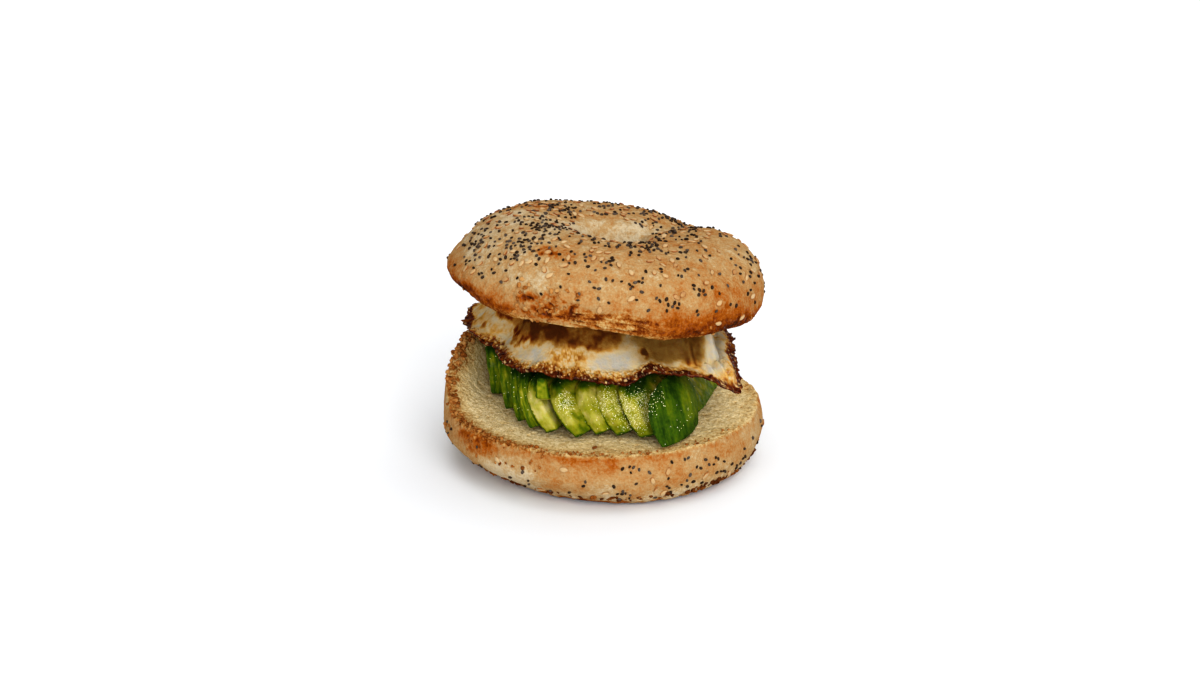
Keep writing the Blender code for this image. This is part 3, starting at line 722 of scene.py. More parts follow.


# %% [markdown]
# ## Toasting of the bottom half
#
# The crumb and the crust brown in different places, so each gets a toast value of its own and the cut
# decides which of them holds. The front left part of the rim lay nearest to the heat: there the crumb is
# browned in a band some millimetres wide, and the crust below it is brown and blistered. Where the top
# half and the bulge shade them, painted light makes both lighter.

# %% Toasting of the bottom half
def cut_toast_and_painted_light(p, toast, zones):
    """How brown the crumb of the cut is; at the left it is painted lighter against the top half's shade."""
    angle, radius = zones.angle, zones.radius
    crumb = toast - 0.22 + 0.24 * ease(44.0, 52.0, radius + 2.5 * rough(p, 8.0, 66.0))
    crumb -= 0.10 * lobe(angle, -20.0, 40.0)
    # Painted light: the crumb at the left is lighter where the top half shades it.
    crumb -= 0.12 * lobe(angle, -165.0, 60.0) * ease(50.0, 44.0, radius)
    crumb += zones.rim * 0.12 * lobe(angle, -145.0, 60.0)
    crumb += 0.08 * ease(0.0, 0.6, zones.lip) * ease(44.0, 53.0, radius)
    crumb += 0.20 * ease(47.0, 53.5, radius + 1.5 * rough(p, 4.0, 110.0)) * lobe(angle, -150.0, 55.0)
    crumb += 0.10 * ease(48.5, 53.0, radius + 1.2 * rough(p, 2.5, 111.0)) * lobe(angle, -138.0, 78.0)
    return crumb


def side_toast_and_painted_light(p, toast, zones):
    """How brown the crust of the side and the underside is; low at the front it is painted lighter against
    shade.
    """
    angle, z = zones.angle, p[:, 2]
    band = hump(z + 1.0 * rough(p, 6.0, 67.0), CUT_HEIGHT - 0.9, 3.0) * lobe(angle, -105.0, 115.0)
    band *= 1.0 - 0.4 * lobe(angle, -82.0, 26.0)
    side = toast + 0.02 + 0.26 * band + 0.12 * rough(p, 7.0, 69.0) + 0.06 * zones.streaks
    side += 0.12 * hump(z, CUT_HEIGHT - 5.0, 6.0) * lobe(angle, -105.0, 100.0)
    # Painted light: lighter low at the front left and near the foot, where the bulge shades the side.
    side -= 0.26 * near(p, (-32.0, -43.0, 11.0), 18.0) + 0.14 * ease(9.0, 4.0, z)
    side += 0.13 * near(p, (-40.0, -34.0, 16.5), (16.0, 16.0, 4.5)) * (1.0 + rough(p, 3.0, 108.0))
    side += 0.20 * zones.blistered + 0.4 * zones.under + 0.45 * ease(3.2, 1.0, z + 1.6 * rough(p, 3.0, 109.0))
    side += 0.16 * near(p, (39.7, -37.9, 15.9), (9.0, 9.0, 4.5))
    side += 0.14 * ease(0.1, 0.6, rough(p, 10.0, 68.0))
    return side


def make_bottom():
    rings = turned(bottom_line(), BASE_AROUND)
    mesh = mesh_from_rings("bagel_bottom_crust", rings, (0.0, 0.0, CUT_HEIGHT), (0.0, 0.0, 0.0))
    raw = points_of(mesh)
    p = shape_bottom(raw)
    place_points(mesh, p)
    zones = bottom_zones(p, raw)
    height = bottom_relief(p, zones)
    raise_skin(mesh, height)
    toast = 0.24 + 0.06 * rough(p, 12.0, 64.0) + 0.08 * rough(p, 4.0, 65.0)
    toast = zones.cut * cut_toast_and_painted_light(p, toast, zones) + zones.side * side_toast_and_painted_light(p, toast, zones)
    keep(mesh, toast=np.clip(toast, 0.02, 1.0), torn=zones.cut, relief=height)
    place_points(mesh, points_of(mesh) + AXIS)
    return mesh


bottom_finish = crust_finish("bottom_crust_finish")
bottom_crust = add_piece("bagel_bottom_crust", make_bottom(), bottom_finish, "bottom_crust", "bagel_bottom")

# %% [markdown]
# ## Seeds
#
# Two kinds of seed stick to the crust: flat, pointed, ivory ones and round, dark ones of about a
# millimetre. The solids hold the first of them. The same seeded draw lays those again in nearly the same
# places, and more draws add the many that the solids leave out, the dark ones in clumps, because wet
# dough picks seeds up in clumps. A seed is placed by a ray shot at the crust from outside, and all seeds
# of a kind become one mesh.

# %% Laying seeds
SEED_ROOM = {"sesame": 1.9, "poppy": 1.2}
CLEAR_ROOM = 0.6
RAY_START = 80.0


def tree_of(piece):
    corners = [Vector(point) for point in points_of(piece.data).tolist()]
    return BVHTree.FromPolygons(corners, [face.vertices for face in piece.data.polygons])


class Crust:
    """A crust that seeds are laid on: where rays meet it, and what has been laid already."""

    def __init__(self, piece, matrix, dough, tilts):
        self.tree = tree_of(piece)
        self.matrix = Matrix(matrix.tolist())
        self.back = self.matrix.inverted()
        self.dough = dough
        self.tilts = tilts
        self.laid = []
        self.seeds = {"sesame": [], "poppy": []}

    def meet(self, angle, tilt):
        """Where a ray towards the dough ring meets the crust, and the normal there."""
        around = Vector((math.cos(angle), math.sin(angle), 0.0))
        out = around * math.cos(tilt) + Vector((0.0, 0.0, math.sin(tilt)))
        start = around * self.dough[0] + Vector((0.0, 0.0, self.dough[1])) + out * RAY_START
        turn = self.matrix.to_3x3()
        place, normal, _, _ = self.tree.ray_cast(self.matrix @ start, -(turn @ out))
        return place, normal

    def lay(self, kind, place, normal, spin, room):
        """Keep a seed if it has room round it."""
        if any((place - other).length < room + taken for other, taken in self.laid):
            return False
        self.laid.append((place, room))
        self.seeds[kind].append((place, normal, spin))
        return True


def lay_evenly(crust, counts, density, seed):
    """The draw of the solids: each seed has its room, and the density thins them out."""
    draw = random.Random(seed)
    for kind, count in counts:
        placed = 0
        while placed < count:
            angle = draw.uniform(-math.pi, math.pi)
            tilt = math.radians(draw.uniform(*crust.tilts))
            spin = draw.uniform(0.0, 2.0 * math.pi)
            keep_it = draw.random() <= density(math.degrees(angle), math.degrees(tilt))
            place, normal = crust.meet(angle, tilt)
            if place is not None and keep_it and crust.lay(kind, place, normal, spin, SEED_ROOM[kind]):
                placed += 1


def lay_at(crust, kind, places, seed):
    """Seeds at given places of the half's own axes, moved on to the crust."""
    draw = random.Random(seed)
    for place in places:
        found, normal, _, _ = crust.tree.find_nearest(crust.matrix @ Vector(place))
        crust.lay(kind, found, normal, draw.uniform(1.0, 2.2), CLEAR_ROOM)


def lay_in_clumps(crust, kind, count, density, cling, room, seed):
    """The small seeds that the solids leave out: many of them lie close to the one before."""
    draw = random.Random(seed)
    placed = 0
    angle, tilt = 0.0, 1.0
    while placed < count:
        if draw.random() < cling:
            angle += draw.gauss(0.0, 0.035)
            tilt += draw.gauss(0.0, 0.05)
        else:
            angle = draw.uniform(-math.pi, math.pi)
            tilt = math.radians(draw.uniform(*crust.tilts))
        spin = draw.uniform(0.0, 2.0 * math.pi)
        place, normal = crust.meet(angle, tilt)
        if place is None or draw.random() > density(crust.back @ place):
            continue
        if crust.lay(kind, place, normal, spin, room):
            placed += 1


print("room round a seed, mm:", SEED_ROOM)

# %% [markdown]
# ## Where the seeds lie
#
# Seeds are strewn by hand, so they lie unevenly. The dark ones form drifts, thickest at the front left of
# the top half, and the ivory ones thin out to the right. Low down and in the dimple there are few. How
# thick they lie at a place decides whether a seed that was drawn stays there.

# %% Where the seeds lie
# The ring of dough that the rays are aimed at, as radius and height, and their tilts in degrees.
TOP_DOUGH = (CREST_RADIUS, 6.0)
TOP_TILTS = (4.0, 128.0)
BOTTOM_DOUGH = (30.0, 9.0)
BOTTOM_TILTS = (-14.0, 18.0)
TOP_FUSED = (("sesame", 34), ("poppy", 100))
BOTTOM_FUSED = (("sesame", 8), ("poppy", 24))
# Ivory seeds that catch the eye on the front of the top half, in its own axes.
CLEAR_SESAME = (
    (-20.8, -38.4, 20.9), (-15.3, -44.8, 18.4), (20.5, -37.7, 20.9), (23.5, -46.4, 13.9), (36.6, -40.1, 4.4),
    (44.8, -30.4, 4.8), (48.3, -23.7, 10.5), (40.9, -26.2, 18.3), (32.9, -33.5, 19.1), (-3.5, -42.1, 21.2),
)


def top_evenness(angle, tilt):
    """How thick the solids' seeds lie on the top half; both evenness functions repeat the solids' own."""
    left = 0.25 + 0.75 * lobe(angle, 190.0, 130.0)
    return left * (0.15 + 0.85 * ease(5.0, 45.0, tilt)) * ease(128.0, 105.0, tilt)


def bottom_evenness(angle, _):
    """The same for the bottom half, where only the angle counts."""
    return 0.35 + 0.65 * lobe(angle, -60.0, 60.0)


# Where the dark seeds lie thick on the top half: place, reach and how thick.
POPPY_DRIFTS = (
    ((-29.0, -31.0, 18.0), (20.0, 14.0, 10.0), 1.0), ((-42.0, -14.0, 15.0), (11.0, 20.0, 9.0), 0.8),
    ((-19.0, 16.0, 24.0), (13.0, 9.0, 7.0), 0.6), ((-26.0, -14.0, 24.0), (17.0, 14.0, 7.0), 0.55),
    ((17.0, 2.5, 23.0), (14.0, 2.4, 6.0), 0.9), ((4.0, -28.0, 24.0), (21.0, 8.0, 6.0), 0.7),
    ((-6.0, -42.0, 19.5), (16.0, 8.0, 6.0), 0.8), ((2.0, -49.0, 15.5), (15.0, 6.0, 4.0), 0.7),
    ((20.0, -49.0, 12.0), (7.0, 7.0, 5.0), 0.7), ((38.0, -38.0, 11.0), (7.0, 7.0, 5.0), 0.5),
    ((42.0, -20.0, 17.0), (9.0, 12.0, 6.0), 0.35), ((20.0, 30.0, 20.0), (26.0, 22.0, 12.0), 0.22),
    ((-42.0, -27.0, 11.0), (9.0, 10.0, 5.0), 0.5),
)


def poppy_thickness(place):
    """How thick the dark seeds lie at a place of the top half, from 0 to 1."""
    point = np.array((place[:],))
    thick = 0.09 + sum(share * float(near(point, middle, reach)[0])
                       for middle, reach, share in POPPY_DRIFTS)
    dimple = float(ease(10.0, 14.0, math.hypot(place[0] - DIMPLE_SHIFT[0], place[1] - DIMPLE_SHIFT[1])))
    return thick * (0.04 + 0.96 * dimple) * float(ease(1.0, 5.0, place[2]))


def sesame_thickness(place):
    left = 0.5 + 0.5 * float(lobe(math.degrees(math.atan2(place[1], place[0])), 170.0, 130.0))
    dimple = float(ease(9.0, 14.0, math.hypot(place[0] - DIMPLE_SHIFT[0], place[1] - DIMPLE_SHIFT[1])))
    return left * dimple * float(ease(0.5, 4.0, place[2]))


def low_thickness(place):
    """Seeds of the bottom half: most of them low at the front right, none on the cut or the underside."""
    angle = math.degrees(math.atan2(place[1], place[0]))
    front = 0.18 + 0.82 * float(lobe(angle, -62.0, 42.0)) + 0.4 * float(lobe(angle, -20.0, 40.0))
    return front * float(ease(1.5, 4.0, place[2])) * float(ease(19.0, 17.5, place[2]))


top_bed = Crust(top_crust, top_placement(), TOP_DOUGH, TOP_TILTS)
bottom_placement = np.array(Matrix.Translation(Vector(AXIS)))
bottom_bed = Crust(bottom_crust, bottom_placement, BOTTOM_DOUGH, BOTTOM_TILTS)
lay_evenly(top_bed, TOP_FUSED, top_evenness, 21)
lay_evenly(bottom_bed, BOTTOM_FUSED, bottom_evenness, 22)
lay_at(top_bed, "sesame", CLEAR_SESAME, 35)
# Each row: half, kind, number, thickness, the share that clings to the one before, room and draw.
for row in (
    (top_bed, "sesame", 170, sesame_thickness, 0.0, 1.15, 31),
    (top_bed, "poppy", 540, poppy_thickness, 0.55, 0.5, 32),
    (bottom_bed, "sesame", 9, low_thickness, 0.0, 1.5, 33),
    (bottom_bed, "poppy", 90, low_thickness, 0.35, 0.56, 34),
):
    lay_in_clumps(*row)
print("seeds laid:", {kind: len(top_bed.seeds[kind]) + len(bottom_bed.seeds[kind]) for kind in SEED_ROOM})

# %% [markdown]
# ## Many small pieces in one mesh
#
# A thousand objects would be slow and hard to handle. Instead the points of one small shape are turned
# and moved for each place, all are put into one mesh, and a draw for each copy is kept at its points,
# so that the finish can make every one a little different.

# %% Copies in one mesh
def ball(subdivisions):
    """Points and faces of a small round shape of diameter 1."""
    shape = bmesh.new()
    bmesh.ops.create_icosphere(shape, subdivisions=subdivisions, radius=0.5)
    points = np.array([vertex.co[:] for vertex in shape.verts])
    faces = np.array([[vertex.index for vertex in face.verts] for face in shape.faces])
    shape.free()
    return points, faces


def frame_on(normal, spin):
    """Axes that stand on a surface, turned about its normal by spin. The last one is the normal."""
    turn = Vector(normal).to_track_quat("Z", "X").to_matrix() @ Matrix.Rotation(spin, 3, "Z")
    return np.array(turn)


def many(name, shape, copies):
    """One mesh of many copies: each has a place, axes, a size along each axis and a draw."""
    points, faces = shape
    places = np.array([place for place, _, _, _ in copies])
    axes = np.array([turn for _, turn, _, _ in copies])
    sizes = np.array([size for _, _, size, _ in copies])
    draws = np.array([draw for _, _, _, draw in copies])
    local = points[None, :, :] * sizes[:, None, :]
    world = np.einsum("nij,npj->npi", axes, local) + places[:, None, :]
    steps = (np.arange(len(copies)) * len(points))[:, None, None]
    corners = (faces[None] + steps).reshape(-1, 3)
    mesh = bpy.data.meshes.new(name)
    mesh.from_pydata((world.reshape(-1, 3) * MM).tolist(), [], corners.tolist())
    side = np.tile(np.hypot(points[:, 0], points[:, 1]) * 2.0, len(copies))
    keep(mesh, draw=np.repeat(draws, len(points)), side=side)
    return mesh


def sesame_shape():
    """A flat drop: broad at one end, pointed at the other, with a faint ridge round its edge."""
    points, faces = ball(3)
    taper = 1.0 - 0.62 * ease(-0.15, 0.55, points[:, 0])
    points[:, 1] *= taper
    points[:, 2] *= 0.35 + 0.65 * taper
    flat = ease(0.5, 0.2, np.hypot(points[:, 0], points[:, 1]))
    points[:, 2] *= 1.0 - 0.18 * flat
    return points, faces


def poppy_shape():
    """A round seed with a dent on one side, like a tiny kidney."""
    points, faces = ball(2)
    points *= 1.0 - 0.22 * near(points, (0.0, 0.5, 0.1), 0.4)[:, None]
    return points, faces


def seed_copies(kind, size, sink, spread, seed):
    draw = random.Random(seed)
    copies = []
    for place, normal, spin in top_bed.seeds[kind] + bottom_bed.seeds[kind]:
        grow = draw.uniform(1.0 - spread, 1.0 + spread)
        scale = [length * grow * draw.uniform(0.93, 1.07) for length in size]
        lean = Vector(normal) + Vector([draw.uniform(-0.12, 0.12) for _ in range(3)])
        copies.append((place + Vector(normal) * sink, frame_on(lean, spin), scale, draw.random()))
    return copies


def on_cut(x, y):
    """Where a point of the table lies on the cut of the bottom half, and the normal there."""
    place, normal, _, _ = bottom_bed.tree.ray_cast(Vector((x, y, RAY_START)), Vector((0.0, 0.0, -1.0)))
    return place, normal


# %% [markdown]
# ## Finish of the seeds
#
# The ivory seeds are smooth and a little oily, browner at the point and on the ones that the oven
# reached. The round ones are dull, from almost black to a warm grey, with a fine net of pits.

# %% Seed finishes
def sesame_finish():
    material, shader, wire = start_material("sesame_hull", 0.4, specular_ior_level=0.2)
    outline = wire.mark("side").between(0.6, 1.0, 0.0, 0.55)
    toast = wire.mark("draw") * 0.52 + outline + (wire.speckle(0.8) - 0.5) * 0.5
    colour = toast.ramp((0.0, (0.48, 0.34, 0.175)), (0.4, (0.39, 0.225, 0.09)), (0.7, (0.29, 0.115, 0.025)),
                        (1.0, (0.20, 0.055, 0.009)))
    wire.feed(shader.inputs["Base Color"], colour)
    wire.feed(shader.inputs["Normal"], wire.bump(wire.speckle(0.35), 0.03))
    return material


def poppy_finish():
    material, shader, wire = start_material("poppy_hull", 0.55, specular_ior_level=0.04)
    tone = wire.mark("draw") * 0.7 + wire.speckle(0.5) * 0.3
    colour = tone.ramp((0.0, (0.012, 0.006, 0.003)), (0.5, (0.034, 0.019, 0.010)),
                       (0.8, (0.075, 0.055, 0.042)), (1.0, (0.15, 0.12, 0.09)))
    wire.feed(shader.inputs["Base Color"], colour)
    wire.feed(shader.inputs["Normal"], wire.bump(wire.bubbles(0.22), 0.03))
    return material


SESAME_SIZE = (3.0, 1.75, 0.95)
POPPY_SIZE = (1.36, 0.96, 0.84)
# One ivory seed fell on the cut and was toasted red brown there.
FALLEN_PLACE = (-1.6, -43.5)
fallen, fallen_normal = on_cut(*FALLEN_PLACE)
sesame = seed_copies("sesame", SESAME_SIZE, 0.16, 0.12, 41)
sesame.append((fallen + fallen_normal * 0.35, frame_on(fallen_normal, 2.0), (3.1, 1.8, 0.9), 1.6))
poppy = seed_copies("poppy", POPPY_SIZE, 0.2, 0.2, 42)
add_piece("sesame_seeds", many("sesame_seeds", sesame_shape(), sesame), sesame_finish(), "top_crust")
add_piece("poppy_seeds", many("poppy_seeds", poppy_shape(), poppy), poppy_finish(), "top_crust")

# %% [markdown]
# ## Toasted crumbs
#
# Where the knife tore the bread, crumbs stand up and brown before the rest does. They are thick on the
# lip at the left back and thinner along the front rim. Dark flakes hang at the foot, and lighter ones at
# the torn place and along the lower edge of the top half. Each is a small ball made uneven by noise.

# %% Crumbs
def crumb_shape():
    points, faces = ball(2)
    return points * (1.0 + 0.7 * rough(points, 0.42, 3.7))[:, None], faces


def rim_crumbs(count, angles, radii, sizes, seed):
    """Crumbs along the rim of the cut, between two angles and two radii."""
    draw = random.Random(seed)
    copies = []
    for _ in range(count):
        angle = math.radians(draw.triangular(*angles))
        radius = draw.uniform(*radii)
        place, normal = on_cut(AXIS[0] + radius * math.cos(angle), AXIS[1] + radius * math.sin(angle))
        size = draw.uniform(*sizes)
        scale = (size, size * draw.uniform(0.55, 0.9), size * draw.uniform(0.5, 0.8))
        if place is not None and place.z > CUT_HEIGHT - 3.0:
            lean = normal + Vector([draw.uniform(-0.6, 0.6) for _ in range(3)])
            turn = frame_on(lean, draw.uniform(0.0, 6.0))
            copies.append((place + normal * 0.18 * size, turn, scale, draw.random()))
    return copies


def skin_flakes(bed, count, angles, tilts, sizes, tone, seed):
    """Flakes of crust that stand off its skin, between two angles and two tilts; tone darkens them."""
    draw = random.Random(seed)
    copies = []
    for _ in range(count):
        place, normal = bed.meet(math.radians(draw.uniform(*angles)), math.radians(draw.uniform(*tilts)))
        size = draw.uniform(*sizes)
        if place is not None:
            lean = normal + Vector([draw.uniform(-0.5, 0.5) for _ in range(3)])
            scale = (size, size * draw.uniform(0.5, 0.9), size * 0.32)
            turn = frame_on(lean, draw.uniform(0.0, 6.0))
            copies.append((place + normal * 0.08 * size, turn, scale, draw.random() + tone))
    return copies


def crumb_finish():
    material, shader, wire = start_material("toasted_crumb", 0.7, specular_ior_level=0.0)
    toast = wire.mark("draw") * 0.6 + wire.speckle(0.9, 4.0, 0.7).between(0.3, 0.7, 0.0, 0.4)
    colour = toast.ramp((0.0, (0.41, 0.245, 0.10)), (0.3, (0.40, 0.185, 0.052)), (0.6, (0.27, 0.088, 0.016)),
                        (1.0, (0.075, 0.020, 0.005)))
    wire.feed(shader.inputs["Base Color"], colour)
    wire.feed(shader.inputs["Normal"], wire.bump(wire.speckle(0.5, 3.0), 0.15))
    return material


# Each row on the rim: number, angles, radii, sizes and draw. The third angle is where most of them lie.
crumbs = []
for row in (
    (330, (92.0, 200.0, 150.0), (50.5, 54.5), (0.8, 2.4), 51),
    (110, (-165.0, -20.0, -120.0), (50.5, 53.6), (0.5, 1.3), 52),
    (120, (-185.0, -95.0, -150.0), (51.0, 54.3), (0.6, 1.7), 57),
):
    crumbs += rim_crumbs(*row)
# Each row on the skin: half, number, angles, tilts, sizes, tone and draw.
for row in (
    (top_bed, 60, (-124.0, -98.0), (-14.0, 14.0), (0.6, 2.2), -0.15, 53),
    (top_bed, 60, (-170.0, -10.0), (-22.0, -6.0), (0.6, 1.6), 0.0, 54),
    (bottom_bed, 110, (-170.0, -10.0), (-15.0, -9.0), (0.9, 2.8), 0.7, 55),
    (bottom_bed, 22, (-170.0, -110.0), (9.0, 18.0), (0.8, 2.2), 0.15, 56),
):
    crumbs += skin_flakes(*row)
print("crumbs and flakes:", len(crumbs))
add_piece("toasted_crumbs", many("toasted_crumbs", crumb_shape(), crumbs), crumb_finish(), "bottom_crust")

# %% [markdown]
# ## Form of the fried egg
#
# The white ran out over the pan and set as a thin sheet with a lace of bubbles at its edge. Laid over
# the avocado it hangs down at its edge, most at the right and the back, and rises to the bread in the
# middle. Each ray from its middle to its edge is a share t from 0 to 1, so the upper and the under side
# are two rows of rings.

# %% Sizes of the egg
EGG_FLOOR = 42.2
EGG_EDGE_THICKNESS = 1.9
EGG_LEAST_THICKNESS = 1.3
EGG_CLEARANCE = 0.5
EGG_MIDDLE = np.array((2.0, 2.0))
EGG_RIPPLE = 0.7
EGG_AROUND = 600
EGG_EDGE = np.array((
    (-47.5, 19.0, 42.6), (-44.4, 5.0, 42.3), (-36.8, -5.0, 40.6), (-33.7, -17.0, 41.2),
    (-27.6, -27.0, 40.6), (-19.4, -33.0, 41.9), (-11.4, -36.5, 41.0), (-3.4, -38.5, 41.0),
    (8.5, -38.0, 39.4), (16.5, -35.0, 42.5), (24.5, -35.5, 42.0), (32.5, -35.5, 41.2),
    (38.1, -35.0, 39.2), (46.8, -31.5, 34.6), (46.5, -10.0, 38.4), (46.0, 10.0, 40.0),
    (38.0, 32.0, 37.0), (18.0, 43.0, 35.0), (-8.0, 46.0, 35.5), (-30.0, 42.0, 39.0),
    (-45.0, 33.0, 43.5),
))


def closed_curve(points, share):
    """Points of the smooth closed curve through a ring of points; share runs from 0 to 1 once round."""
    place = (share % 1.0) * len(points)
    index = place.astype(int)
    span = [points[(index + step) % len(points)] for step in (-1, 0, 1, 2)]
    return curve_at(*span, (place - index)[:, None])


def cut_plane(x, y):
    """Height of the top half's flat cut over a point of the table."""
    return (TOP_LIFT - math.tan(math.radians(TOP_ROLL)) * (x - AXIS[0])
            + math.tan(math.radians(TOP_PITCH)) * (y - AXIS[1]))


def egg_grid():
    """Rings of the egg from the middle of its upper side over the edge to the middle of its under side."""
    upper = np.append((0.03, 0.12, 0.22, 0.32, 0.40, 0.45), np.arange(0.47, 1.0, 0.0105))
    under = np.append(np.linspace(0.99, 0.8, 16), (0.74, 0.66, 0.5, 0.34, 0.18, 0.03))
    share = np.arange(EGG_AROUND) / EGG_AROUND
    rim = closed_curve(EGG_EDGE, share)
    rows = []
    for t, side in [(t, 1.0) for t in upper] + [(1.0, 0.0)] + [(t, -1.0) for t in under]:
        flat = EGG_MIDDLE + (rim[:, :2] - EGG_MIDDLE) * t
        x, y = flat.T
        angle = bearing(x - EGG_MIDDLE[0], y - EGG_MIDDLE[1])
        fold = lobe(angle, -40.0, 34.0)
        rise = ease(0.97 - 0.09 * fold, 0.5 + 0.24 * fold + 0.12 * lobe(angle, 100.0, 90.0), t)
        ripple = EGG_RIPPLE * rough(np.stack([x, y, 0.0 * x], axis=1), 4.0, 4.4) * ease(0.55, 0.9, t)
        thin = EGG_EDGE_THICKNESS * (1.0 - 0.45 * ease(0.93, 1.0, t))
        edge_top = rim[:, 2] + thin
        below = rim[:, 2] + (EGG_FLOOR - rim[:, 2]) * ease(1.0, 0.86, t) + ripple * ease(0.86, 1.0, t)
        if side > 0.0:
            z = edge_top + (cut_plane(x, y) - EGG_CLEARANCE - edge_top) * rise + ripple * (1.0 - rise)
            z = np.maximum(z, below + EGG_LEAST_THICKNESS * ease(1.0, 0.95, t))
        elif side < 0.0:
            z = below
        else:
            z = rim[:, 2] + 0.5 * thin + ripple
        rows.append(np.stack([x, y, z, np.full_like(x, t), rim[:, 2], np.full_like(x, side), rise], axis=1))
    return np.array(rows)


print("egg, mm:", np.ptp(EGG_EDGE[:, :2], axis=0).tolist())

# %% [markdown]
# ## Relief of the egg
#
# Close up, the egg is soft high up, blistered lower down, and its edge is a frill of bubbles. The height
# above the edge and the way in from it decide between these, with noise so that no border is straight.
# These measures are worked out once, because the relief and the colours need both. At the right the sheet
# hangs in upright folds.

# %% Relief of the egg
def egg_measures(grid, p):
    """What shapes and browns the egg at each point: the lace, its bubbles and the way in from the edge."""
    ends = ([(0.0, 40.0, 1.0, 1.0)], [(0.0, 40.0, -1.0, 0.0)])
    t, rim_height, side, rise = np.vstack([grid[:, :, 3:].reshape(-1, 4), *ends]).T
    x, y, z = p.T
    above = z - rim_height
    wander = 1.3 * rough(p, 6.0, 71.0) + 0.9 * rough(p, 2.2, 72.0) + 0.4 * rough(p, 0.9, 87.0)
    inside = (1.0 - t) * np.hypot(x - EGG_MIDDLE[0], y - EGG_MIDDLE[1]) / np.maximum(t, 0.1)
    way = np.hypot(np.maximum(above, 0.0), inside)
    frill = 3.6 + 1.2 * hump(x, -8.0, 24.0) - 1.8 * ease(-34.0, -41.0, x)
    lace = ease(frill + 1.6, frill - 0.6, way + wander) * ease(-0.5, 0.5, side)
    bubble, room, draw = cells(p, 1.5, 73.0)
    return SimpleNamespace(t=t, side=side, rise=rise, angle=bearing(x - EGG_MIDDLE[0], y - EGG_MIDDLE[1]),
                           above=above, wander=wander, way=way, lace=lace, bubble=bubble, room=room,
                           draw=draw, front=ease(0.0, -10.0, y))


def egg_relief(p, egg):
    """Soft lumps, the bubbles of the lace and the upright folds, in millimetres."""
    soft = ease(0.99, 0.9, egg.t) * (1.0 - 0.85 * ease(0.9, 1.0, egg.rise)) * ease(-0.5, 0.5, egg.side)
    height = soft * (0.5 * rough(p, 6.0, 74.0) + 0.22 * rough(p, 2.3, 75.0))
    height += egg.lace * (0.7 * ease(0.6, 0.15, egg.bubble) * ease(0.2, 0.7, egg.draw) - 0.3)
    folds = lobe(egg.angle, -36.0, 22.0) * ease(1.5, 5.0, egg.above)
    across = p[:, 0] * 0.75 + p[:, 1] * 0.65
    waves = 0.9 * np.sin(across * 1.9 + 1.6 * rough(p, 5.0, 76.0)) + 0.3 * rough(p, 1.5, 77.0)
    return height + folds * soft * waves


def ragged_edge(p, egg):
    """How far the crisp edge moves outwards and up or down, in millimetres."""
    edge = ease(0.9, 1.0, egg.t)
    flat = p * np.array((1.0, 1.0, 0.0))
    out = flat - np.array((*EGG_MIDDLE, 0.0))
    out /= np.linalg.norm(out, axis=1)[:, None] + 1e-6
    ragged = 1.1 * rough(flat, 4.2, 78.0) + 0.9 * rough(flat, 1.7, 79.0) + 0.5 * rough(flat, 0.8, 80.0)
    ragged *= 1.0 + 0.8 * lobe(egg.angle, 165.0, 40.0)
    shift = out * (edge * ragged)[:, None]
    shift[:, 2] += edge * (0.55 * rough(flat, 2.6, 81.0) + 0.3 * rough(flat, 1.1, 82.0))
    return shift


# %% [markdown]
# ## Colours of the egg
#
# The white stays white where it lay on the avocado, turns cream and gold towards the pan, and the last
# two or three millimetres of the edge are a dark, glassy crisp. Under the top half it is brown in patches,
# partly browning and partly painted shade, and a warm half-shadow is painted over it. One value says how
# fried each point is, with that painted shade and some painted highlight in it. Three more hold the lace,
# the painted half-shadow and small painted glints on the lace.

# %% Colours of the egg
def egg_shadows(p, egg):
    """Painted shade: the dusk under the top half at the right, the half-shadow high up and a little on the
    white fold.
    """
    x, _, z = p.T
    dusk = ease(6.0, 19.0, x + 1.6 * egg.wander + 0.5 * (z - 46.0)) * ease(37.0, 33.0, x)
    dusk = dusk * ease(43.4, 45.8, z + 0.6 * egg.wander) * egg.front
    shade = 0.46 * ease(48.0, 51.0, z + 0.7 * egg.wander) * ease(37.0, 32.0, x) * egg.front
    shade = np.maximum(0.72 * dusk, shade)
    return dusk, np.maximum(shade, 0.22 * near(p, (39.0, -21.0, 47.0), (6.0, 18.0, 9.0)))


def egg_browns(p, egg, whites):
    """The brown patches high up (browning and painted shade), the spots and the pleats' brown, each from 0 to
    about 1.
    """
    x, y, _ = p.T
    over = egg.above + 1.1 * egg.wander + 3.0 * hump(x, -31.0, 9.0) * ease(0.0, -12.0, y)
    high = ease(6.4, 8.8, over) * ease(35.0, 18.0, np.abs(x + 17.0)) * (1.0 - 0.8 * whites)
    blotch = 0.50 + 0.34 * ease(-0.3, 0.3, rough(p, 4.0, 85.0) + 0.4 * rough(p, 1.5, 89.0))
    blotch -= 0.20 * ease(2.0, 16.0, x) + 0.18 * ease(0.0, 14.0, y)
    spots = np.maximum.reduce([
        1.3 * near(p + 1.3 * egg.wander[:, None], (14.9, -29.2, 48.4), (3.8, 5.0, 5.4)),
        near(p, (-41.0, 6.0, 46.0), (4.0, 5.0, 3.0)), near(p, (-6.0, -30.0, 46.6), (5.0, 4.0, 1.6)),
    ]) * ease(-0.4, 0.2, rough(p, 1.8, 83.0))
    pleats = hump(x + 0.6 * egg.wander, 30.5, 6.0) ** 0.7 * ease(1.5, 4.0, egg.above) * ease(5.0, -5.0, y)
    pleats *= 0.60 + 0.45 * rough(p * np.array((1.0, 1.0, 0.22)), 1.5, 47.0)
    return high * blotch, 0.8 * spots, pleats


